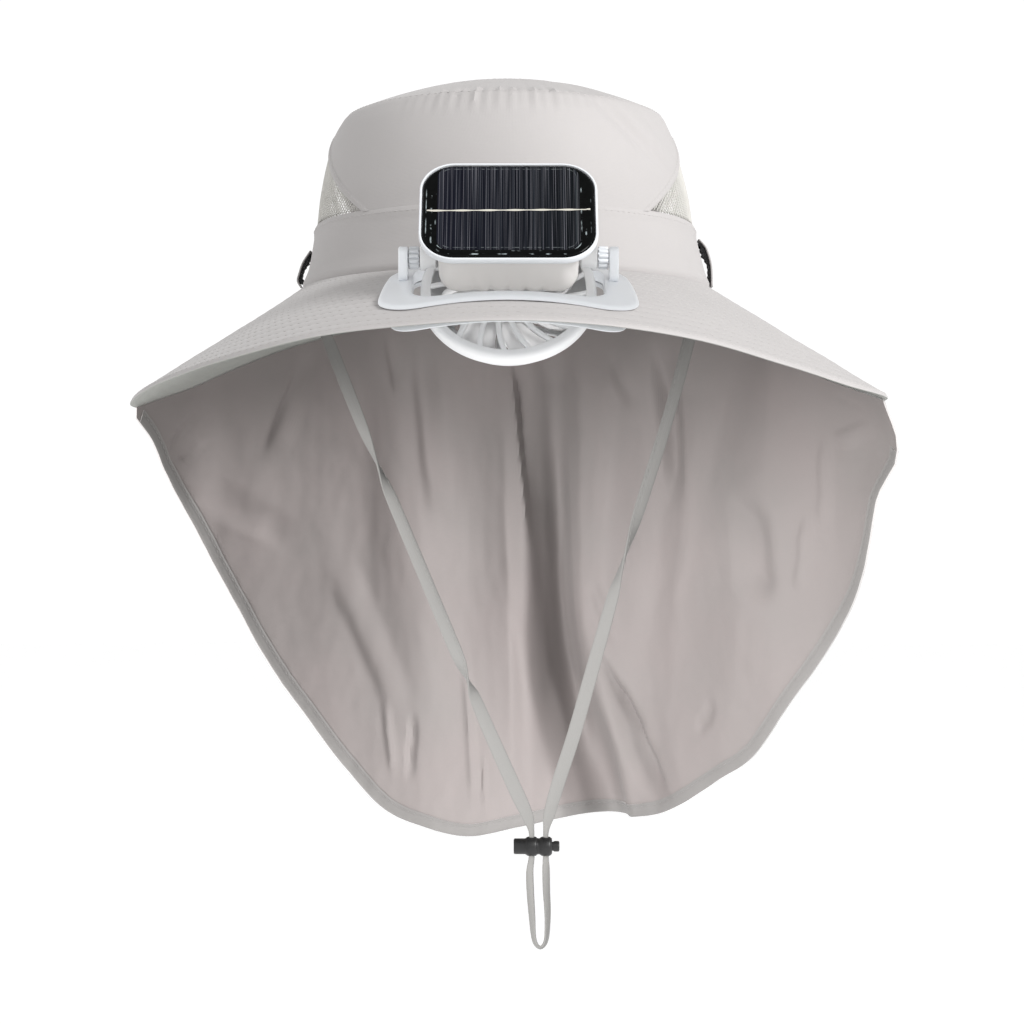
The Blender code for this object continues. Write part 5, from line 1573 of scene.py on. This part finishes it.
# %% [markdown]
# ## The motor and the blades
# A flat motor sits behind the hub plate, and the bladed wheel turns on its shaft. Seven wide
# blades nearly fill the circle. Each is a thin twisted sheet, swept back towards its tip, and
# thickened by a small wall at its edges so that it catches light as a moulding does.

# %% The motor
motor_can = [(0.0, -0.0019), (0.0084, -0.0019)] + arc(0.0085, -0.0024, 0.0005, 90, 0)
motor_can += [(0.0090, -0.0036), (0.0088, -0.0038), (0.0088, -0.0040), (0.0090, -0.0042)]
motor_can += arc(0.0086, -0.0045, 0.0004, 0, -90)
motor_can += [(0.0030, -0.0049), (0.0028, -0.0050), (0.0010, -0.0050), (0.0010, -0.0117)]
motor_can += [(0.0008, -0.0119), (0.0, -0.0119)]
motor_mesh = gathered([turned(motor_can, 64)], CAGE_PLACE)
motor = fan_piece("motor_can", motor_mesh, steel_finish, "fan_motor")
print("motor:", len(motor.data.polygons), "faces")

# %% The bladed wheel
WHEEL_TOP = -0.0052
WHEEL_HUB = 0.0102
WHEEL_RADIUS = 0.0255
BLADE_COUNT = 7
BLADE_SPAN = 0.84
BLADE_SWEEP = 10.0
BLADE_THICKNESS = 0.0011
BLADE_ROOT = 0.0004
BLADE_CORNER = 0.16
BLADE_TOP = WHEEL_TOP - 0.0011
BLADE_TWIST = 0.0036
BLADE_BELLY = 0.0006


def blade_point(turn, outwards, across, sign):
    """A point on one face of a blade, its outer corners drawn in and its long edges thin."""
    root = WHEEL_HUB - BLADE_ROOT
    radius = root + (WHEEL_RADIUS - root) * outwards
    radius *= 1.0 - BLADE_CORNER * outwards ** 6 * abs(2.0 * across - 1.0) ** 6
    pitch = 360.0 / BLADE_COUNT * BLADE_SPAN
    angle = math.radians(turn + pitch * across + BLADE_SWEEP * outwards)
    middle = BLADE_TOP - BLADE_TWIST * across - BLADE_BELLY * math.sin(math.pi * across)
    fullness = math.sin(math.pi * min(max(across, 0.04), 0.96)) ** 0.5
    thick = BLADE_THICKNESS * (0.35 + 0.65 * fullness)
    return (radius * math.cos(angle), radius * math.sin(angle), middle + thick * sign)


def blade_mesh(turn):
    """One blade: two twisted faces with a rim between them."""
    mesh = bmesh.new()
    rows = steps(0.0, 1.0, 10)
    columns = steps(0.0, 1.0, 14)
    upper, lower = [
        [[mesh.verts.new(blade_point(turn, v, u, sign)) for u in columns] for v in rows]
        for sign in (0.5, -0.5)
    ]
    for grid in (upper, lower):
        for near, far in zip(grid, grid[1:]):
            for c in range(len(columns) - 1):
                mesh.faces.new((near[c], near[c + 1], far[c + 1], far[c]))
    for r in (0, -1):
        for c in range(len(columns) - 1):
            mesh.faces.new((upper[r][c], upper[r][c + 1], lower[r][c + 1], lower[r][c]))
    for c in (0, -1):
        for r in range(len(rows) - 1):
            mesh.faces.new((upper[r][c], upper[r + 1][c], lower[r + 1][c], lower[r][c]))
    return mesh


wheel_hub = [(0.0013, WHEEL_TOP), (0.0096, WHEEL_TOP)]
wheel_hub += arc(0.0097, WHEEL_TOP - 0.0005, 0.0005, 90, 0)
wheel_hub += [(WHEEL_HUB, -0.0106), (0.0098, -0.0111), (0.0088, -0.0112)]
wheel_hub += [(0.0030, -0.0112), (0.0013, -0.0112)]
wheel_meshes = [turned(wheel_hub, 72, closed=True)]
wheel_meshes += [blade_mesh(360.0 / BLADE_COUNT * i) for i in range(BLADE_COUNT)]
wheel_mesh = gathered(wheel_meshes, CAGE_PLACE)
wheel_body = "impeller_wheel"
wheel = fan_piece(
    "bladed_wheel", wheel_mesh, blade_plastic, "impeller", wheel_body
)
print("blades:", len(wheel.data.polygons), "faces")

# %% [markdown]
# ## The box and the panel
# The white box on the hub carries the solar panel, a dark cell under clear resin in a shallow
# white tray. Each is a stack of rounded outlines, drawn in by its own amount at each height,
# so every edge has a true radius and the tray's rim is one unbroken surface with its floor.

# %% Stacks of rounded outlines
SMALLEST_CORNER = 0.0003
PANEL_UP = 0.0023
PANEL_HALF_X = 0.0331
PANEL_SHAPE = (PANEL_HALF_X, 0.02385, 0.0132)


def stacked(half_x, half_y, corner, rows, middle_y, side_pieces=1):
    """A closed solid from rows of inset and height, with its plan as its map."""
    mesh = bmesh.new()
    rings = []
    for inset, height in rows:
        size = (half_x - inset, half_y - inset, max(corner - inset, SMALLEST_CORNER))
        shape = even_outline(*size, middle_y, side_pieces=side_pieces)
        rings.append([mesh.verts.new((x, y, height)) for x, y in shape])
    bridge(mesh, rings)
    layer = mesh.loops.layers.uv.new("flat")
    for made in mesh.faces:
        for loop in made.loops:
            loop[layer].uv = (loop.vert.co.x, loop.vert.co.y - middle_y)
    return mesh


def in_place(mesh):
    """Moves a mesh from the fan's own axes to where the fan stands."""
    bmesh.ops.transform(mesh, matrix=FAN_PLACE, verts=mesh.verts)
    return mesh


# %% The box
BOX_ROWS = [(0.0034, 0.0003), (0.0026, 0.0010), (0.0018, 0.0020), (0.0011, 0.0032), (0.0005, 0.0046)]
BOX_ROWS += [(0.0001, 0.0062), (0.0, 0.0080), (0.0, 0.0196), (0.0002, 0.0201), (0.0008, 0.0203)]
BOX_SLOT_PITCH = 0.0064
BOX_SLOT_DEPTH = 0.0009
BOX_SHAPE = (0.026, 0.021, 0.007)
BOX_UP = 0.001
SLOTS_HALF_WIDTH = 0.0175
SLOTS_BEHIND = -0.0150
SLOTS_TOP = 0.0070
SLOTS_FADE_TOP = 0.0080
SLOTS_FADE = 0.0040
box_mesh = stacked(*BOX_SHAPE, BOX_ROWS, BOX_UP, 40)
for point in box_mesh.verts:
    x, y, z = point.co
    if y < SLOTS_BEHIND and z < SLOTS_TOP and abs(x) < SLOTS_HALF_WIDTH:
        wave = 0.5 + 0.5 * math.cos(2 * math.pi * x / BOX_SLOT_PITCH)
        point.co.y += BOX_SLOT_DEPTH * wave ** 2 * min((SLOTS_FADE_TOP - z) / SLOTS_FADE, 1.0)
fan_piece("fan_box", in_place(box_mesh), box_plastic, "fan_housing")

# %% The tray
TRAY_ROWS = [(0.0016, 0.0206), (0.0007, 0.0208), (0.0001, 0.0214), (0.0, 0.0220), (0.0, 0.0235)]
TRAY_ROWS += [(0.0002, 0.0239), (0.0005, 0.0240), (0.0008, 0.0239), (0.0009, 0.0236), (0.0009, 0.0221)]
tray_mesh = in_place(stacked(*PANEL_SHAPE, TRAY_ROWS, PANEL_UP))
fan_piece("panel_frame", tray_mesh, white_plastic, "panel_tray")

# %% [markdown]
# The cell shows fine uneven lines, the silver fingers that gather the current, a pale ribbon
# soldered across the middle in short lengths, and a black border of resin. A pale line at the
# window's edge is partly the cell's own edge and partly a painted reflection, and the glints in
# the resin's edge are painted reflections. All of that is a pattern in the panel's own flat map,
# in metres. The resin over it is smooth and clear.

# %% The cell's finish
CELL_HALF_X = 0.0264
CELL_HALF_Y = 0.0204
CELL_UP = 0.0013
CELL_ROUND = 0.0050
cell_finish, cell_tree, cell_shader = new_finish("solar_cell")
cell_x, cell_y = flat_axes(cell_tree)


def cell(operation, *inputs):
    """A Math node in the cell's own tree."""
    return value_of(cell_tree, operation, *inputs)


def cell_blend(factor, first, second):
    """Two colours mixed in the cell's own tree."""
    return blend_colours(cell_tree, factor, first, second)


def off_line(value, line):
    """How far a value lies from a line, on either side."""
    return cell("ABSOLUTE", cell("SUBTRACT", value, line))


def soft_above(value, low, width):
    """0 up to low, then rising to 1 over width."""
    node = cell_tree.nodes.new("ShaderNodeClamp")
    raised = cell("DIVIDE", cell("SUBTRACT", value, low), width)
    cell_tree.links.new(raised, node.inputs[0])
    return node.outputs[0]


def stripes(scale, low, width, y_scale=0.0):
    """Uneven upright stripes, from a noise that hardly changes along them."""
    place = cell_tree.nodes.new("ShaderNodeCombineXYZ")
    cell_tree.links.new(cell("MULTIPLY", cell_x, scale), place.inputs[0])
    cell_tree.links.new(cell("MULTIPLY", cell_y, y_scale), place.inputs[1])
    texture = cell_tree.nodes.new("ShaderNodeTexNoise")
    set_levels(texture, Scale=1.0, Detail=1.0)
    cell_tree.links.new(place.outputs[0], texture.inputs["Vector"])
    return soft_above(texture.outputs["Fac"], low, width)


size_x = cell("ABSOLUTE", cell_x)
size_y = off_line(cell_y, CELL_UP)
past_x = cell("MAXIMUM", cell("SUBTRACT", size_x, CELL_HALF_X - CELL_ROUND), 0.0)
past_y = cell("MAXIMUM", cell("SUBTRACT", size_y, CELL_HALF_Y - CELL_ROUND), 0.0)
squares = cell("ADD", cell("MULTIPLY", past_x, past_x), cell("MULTIPLY", past_y, past_y))
from_window = cell("SUBTRACT", cell("SQRT", squares), CELL_ROUND)
in_window = cell("LESS_THAN", from_window, 0.0)

# %% The fingers, and the window's edge with its painted reflection
left_colour = (0.0048, 0.0052, 0.0110)
right_colour = (0.0028, 0.0040, 0.0042)
leftness = cell("MULTIPLY_ADD", cell_x, -14.0, 0.5)
striped = cell_blend(leftness, right_colour, left_colour)
wide_stripes = cell("MULTIPLY", stripes(900.0, 0.46, 0.22), 0.60)
striped = cell_blend(wide_stripes, striped, (0.022, 0.025, 0.032))
fingers = cell("MULTIPLY", stripes(2700.0, 0.54, 0.13, 9.0), 0.80)
striped = cell_blend(fingers, striped, (0.120, 0.120, 0.135))
# A pale grey-green line just inside the window: partly the cell's own edge, partly a painted
# reflection of the glass.
edge_and_reflection_line = cell("LESS_THAN", off_line(from_window, -0.0011), 0.00016)
edge_and_reflection_line = cell("MULTIPLY", edge_and_reflection_line, stripes(500.0, 0.44, 0.12))
striped = cell_blend(cell("MULTIPLY", edge_and_reflection_line, 0.45), striped, (0.16, 0.18, 0.18))
border_cloud = cloud(cell_tree, 500.0, 3.0)
border = cell_blend(border_cloud, (0.0010, 0.0012, 0.0013), (0.0040, 0.0044, 0.0042))
panel_colour = cell_blend(in_window, border, striped)

# %% The painted glints and the ribbon
# Painted glints: pale patches laid into the colour along the resin's rounded edge, as a painted
# reflection: how far outside the window each runs, its half width, and the size and the
# rareness of its bright patches
PAINTED_GLINTS = (
    (0.0006, 0.00022, 210.0, 0.56),
    (0.0022, 0.00026, 260.0, 0.55),
    (0.0041, 0.00016, 150.0, 0.50),
)
low_part = cell("LESS_THAN", cell_y, 0.0150)
for line_away, line_half, patch_scale, patch_low in PAINTED_GLINTS:
    near_line = cell("LESS_THAN", off_line(from_window, line_away), line_half)
    patches = soft_above(cloud(cell_tree, patch_scale, 2.0, "UV"), patch_low, 0.12)
    painted_glint = cell("MULTIPLY", cell("MULTIPLY", near_line, patches), low_part)
    # Each painted glint lays a pale patch into the base colour: a painted reflection.
    panel_colour = cell_blend(painted_glint, panel_colour, (0.27, 0.31, 0.32))

BEAD_PITCH = 0.0098
RIBBON_STOPS = 0.0028
beads = cell("SINE", cell("MULTIPLY", cell_x, 2 * math.pi / BEAD_PITCH))
ribbon_half = cell("MULTIPLY_ADD", beads, 0.00012, 0.00034)
ribbon_end = cell("LESS_THAN", size_x, PANEL_HALF_X - RIBBON_STOPS)
off_ribbon = off_line(cell_y, cell("MULTIPLY_ADD", cell_x, 0.010, 0.0003))
ribbon = cell("MULTIPLY", cell("LESS_THAN", off_ribbon, ribbon_half), ribbon_end)
panel_colour = cell_blend(ribbon, panel_colour, (0.52, 0.50, 0.44))
cell_tree.links.new(panel_colour, cell_shader.inputs["Base Color"])
raise_bump(cell_tree, cell_shader, cloud(cell_tree, 260.0, 2.0), 0.00006, 0.35)
cell_rough = cell("MULTIPLY_ADD", cloud(cell_tree, 600.0, 3.0), 0.10, 0.08)
cell_tree.links.new(cell_rough, cell_shader.inputs["Roughness"])
set_levels(cell_shader, Specular_IOR_Level=0.07)

# %% The panel
PANEL_ROWS = [(0.0012, 0.0224), (0.0012, 0.0232), (0.0014, 0.0236), (0.0019, 0.0239), (0.0026, 0.0240)]
PANEL_ROWS += [(0.0038, 0.0240), (0.0043, 0.02385), (0.0048, 0.0238), (0.0056, 0.0238)]
panel_mesh = in_place(stacked(*PANEL_SHAPE, PANEL_ROWS, PANEL_UP))
panel = fan_piece("solar_cell_panel", panel_mesh, cell_finish, "solar_panel")
print("panel:", len(panel.data.polygons), "faces")

# %% [markdown]
# ## The drums and the cord lock
# Between the fan and each post is a small drum with grooves for the fingers: a ring whose
# radius follows a cosine, so the ribs come out round. The lock is turned from a profile with
# two soft ribs, and the strap's holes are cut across it afterwards.

# %% The drums
DRUM_RADIUS = 0.0044
DRUM_GROOVE = 0.0011
DRUM_RIBS = 12
GROOVE_POWER = 2.6
DRUM_START = 0.0337
DRUM_END = 0.0376
PIN_RADIUS = 0.0014
PIN_END = 0.0408


def drum_mesh(side):
    """Rows of radius, height and how deep the grooves are, turned about the pivot's axis."""
    rows = ((DRUM_RADIUS - 0.0006, DRUM_START, 0.0), (DRUM_RADIUS, DRUM_START + 0.0004, 1.0))
    rows += ((DRUM_RADIUS, DRUM_END - 0.0004, 1.0), (DRUM_RADIUS - 0.0006, DRUM_END, 0.0))
    rows += ((PIN_RADIUS, DRUM_END, 0.0), (PIN_RADIUS, PIN_END - 0.0002, 0.0))
    rows += ((PIN_RADIUS - 0.0003, PIN_END, 0.0),)
    turns = steps(0.0, 2 * math.pi, DRUM_RIBS * 12)[:-1]
    mesh = bmesh.new()
    rings = []
    for radius, height, grooved in rows:
        ring = []
        for turn in turns:
            groove = DRUM_GROOVE * (0.5 - 0.5 * math.cos(turn * DRUM_RIBS)) ** GROOVE_POWER
            reach = radius - grooved * groove
            spot = (side * height, reach * math.cos(turn), reach * math.sin(turn))
            ring.append(mesh.verts.new(spot))
        rings.append(ring)
    return bridge(mesh, rings)


for side, word in ((-1.0, "left"), (1.0, "right")):
    drum = gathered([drum_mesh(side)], FAN_PLACE)
    drum_name = f"ribbed_drum_{word}"
    fan_piece(drum_name, drum, white_plastic, f"pivot_drum_{word}")

# %% The cord lock
LOCK_CENTRE = Vector((0.0020, STRAP_DEPTH, -0.2410))
LOCK_PLACE = Matrix.Translation(LOCK_CENTRE) @ Matrix.Rotation(math.radians(90.0), 4, "Y")
STRAP_HOLES = (0.0078, 0.0139)
HOLE_SIZE = 0.0030
HOLE_REACH = 0.006
PRESS_TRAVEL = 0.0022
barrel_profile = [(0.0, 0.0), (0.0026, 0.0)] + arc(0.0027, 0.0007, 0.0007, -90, 0)
for place in STRAP_HOLES:
    barrel_profile += [(0.0034, place - 0.0029), (0.0036, place - 0.0025), (0.0040, place - 0.0020)]
    barrel_profile += [(0.0042, place - 0.0014), (0.0042, place + 0.0014), (0.0040, place + 0.0020)]
    barrel_profile += [(0.0036, place + 0.0023)]
barrel_profile[-1] = (0.0037, 0.0161)
barrel_profile += [(0.0033, 0.0166), (0.0028, 0.0166), (0.0026, 0.0164)]
barrel_profile += [(0.0026, 0.0024), (0.0, 0.0024)]
plunger_profile = [(0.0, 0.0049), (0.0023, 0.0049), (0.0023, 0.0190)]
plunger_profile += arc(0.0017, 0.0192, 0.0006, 0, 90) + [(0.0, 0.0198)]


def lock_piece(name, profile, extra, body, node):
    """A turned piece along +X with the strap's two holes cut down through it."""
    piece = show(name, gathered([turned(profile, 56)], LOCK_PLACE), [lock_plastic], body=body)
    for place in STRAP_HOLES:
        half = (HOLE_SIZE + extra) / 2
        outline = rounded_outline(half, HOLE_SIZE / 2, HOLE_SIZE * 0.3, 5)
        middle_x = LOCK_CENTRE.x + place + extra / 2
        outline = [(x + middle_x, y + LOCK_CENTRE.y) for x, y in outline]
        cut(piece, prism(outline, LOCK_CENTRE.z - HOLE_REACH, LOCK_CENTRE.z + HOLE_REACH))
    print(name, len(piece.data.polygons), "faces")
    return stands_for(piece, node)


lock_barrel = lock_piece("cord_lock_barrel", barrel_profile, 0.0, "hat", "lock_barrel")
lock_plunger = lock_piece(
    "cord_lock_plunger", plunger_profile, PRESS_TRAVEL, "plunger", "lock_plunger"
)

# %% [markdown]
# ## Floor and light
# A catalogue picture is taken on white, with white surfaces all round. A bright even sky gives
# the fill, a little weaker overhead. A wide lamp to the right gives the direction, and leaves out
# the frame plate and the cage, which would burn out. A second one, low at the left, lights only
# what hangs below the brim, as light from the white floor does in a real studio. The floor is
# pale enough to vanish into the sky.

# %% The floor
FLOOR_HEIGHT = -0.9
FLOOR_RADIUS = 14.0
FLOOR_GLOW = 0.29
scene.view_settings.view_transform = "Standard"
scene.view_settings.look = "None"
floor_finish, _, floor_shader = speckled_finish(
    "pale_floor", (0.955, 0.955, 0.955), (0.975, 0.975, 0.975), 3.0, 0.9
)
set_levels(floor_shader, Emission_Color=(1.0, 1.0, 1.0, 1.0), Emission_Strength=FLOOR_GLOW)
floor_mesh = bmesh.new()
bmesh.ops.create_circle(floor_mesh, cap_ends=True, segments=64, radius=FLOOR_RADIUS)
floor = show("studio_floor", floor_mesh, [floor_finish], body=None)
floor.location = (0.0, 0.0, FLOOR_HEIGHT)

# %% The sky
SKY_LEVEL = 1.04
SKY_TURN = 0.40
SKY_FALL = 1.10
scene.world = bpy.data.worlds.new("studio")
scene.world.use_nodes = True
sky_tree = scene.world.node_tree
sky = sky_tree.nodes["Background"]
sky.inputs["Color"].default_value = (1.0, 1.0, 1.0, 1.0)
sky_place = sky_tree.nodes.new("ShaderNodeTexCoord")
sky_parts = sky_tree.nodes.new("ShaderNodeSeparateXYZ")
sky_tree.links.new(sky_place.outputs["Generated"], sky_parts.inputs["Vector"])
above_turn = value_of(sky_tree, "SUBTRACT", sky_parts.outputs["Z"], SKY_TURN)
overhead = value_of(sky_tree, "MAXIMUM", above_turn, 0.0)
sky_strength = value_of(sky_tree, "MULTIPLY_ADD", overhead, -SKY_FALL, SKY_LEVEL)
sky_tree.links.new(sky_strength, sky.inputs["Strength"])

# %% The lamps
NOT_IN_KEY_LIGHT = (upper_plate, cage_front)
IN_FLAP_LIGHT = (flap, hem, *hem_stitches, strap_tape, strap_stitches, wheel)


def area_light(name, place, aim, size, power, linked):
    """A round soft lamp and the collection that says which pieces it is linked to."""
    data = bpy.data.lights.new(name, "AREA")
    data.shape = "DISK"
    data.size = size
    data.energy = power
    lamp = bpy.data.objects.new(name, data)
    lamp.location = place
    lamp.rotation_euler = (Vector(aim) - Vector(place)).to_track_quat("-Z", "Y").to_euler()
    scene.collection.objects.link(lamp)
    pieces = bpy.data.collections.new(f"linked_to_{name}")
    lamp.light_linking.receiver_collection = pieces
    for piece in linked:
        pieces.objects.link(piece)
    return pieces


KEY_LIGHT = ((1.50, -1.55, 1.05), (0.0, 0.0, 0.0), 0.9, 52.0)
FLAP_LIGHT = ((-1.00, -1.53, 0.10), (0.05, 0.10, -0.15), 0.8, 54.0)
kept_out = area_light("key_light", *KEY_LIGHT, NOT_IN_KEY_LIGHT)
for member in kept_out.collection_objects:
    member.light_linking.link_state = "EXCLUDE"
area_light("flap_light", *FLAP_LIGHT, IN_FLAP_LIGHT)
print("pieces left out of the key light:", len(NOT_IN_KEY_LIGHT))
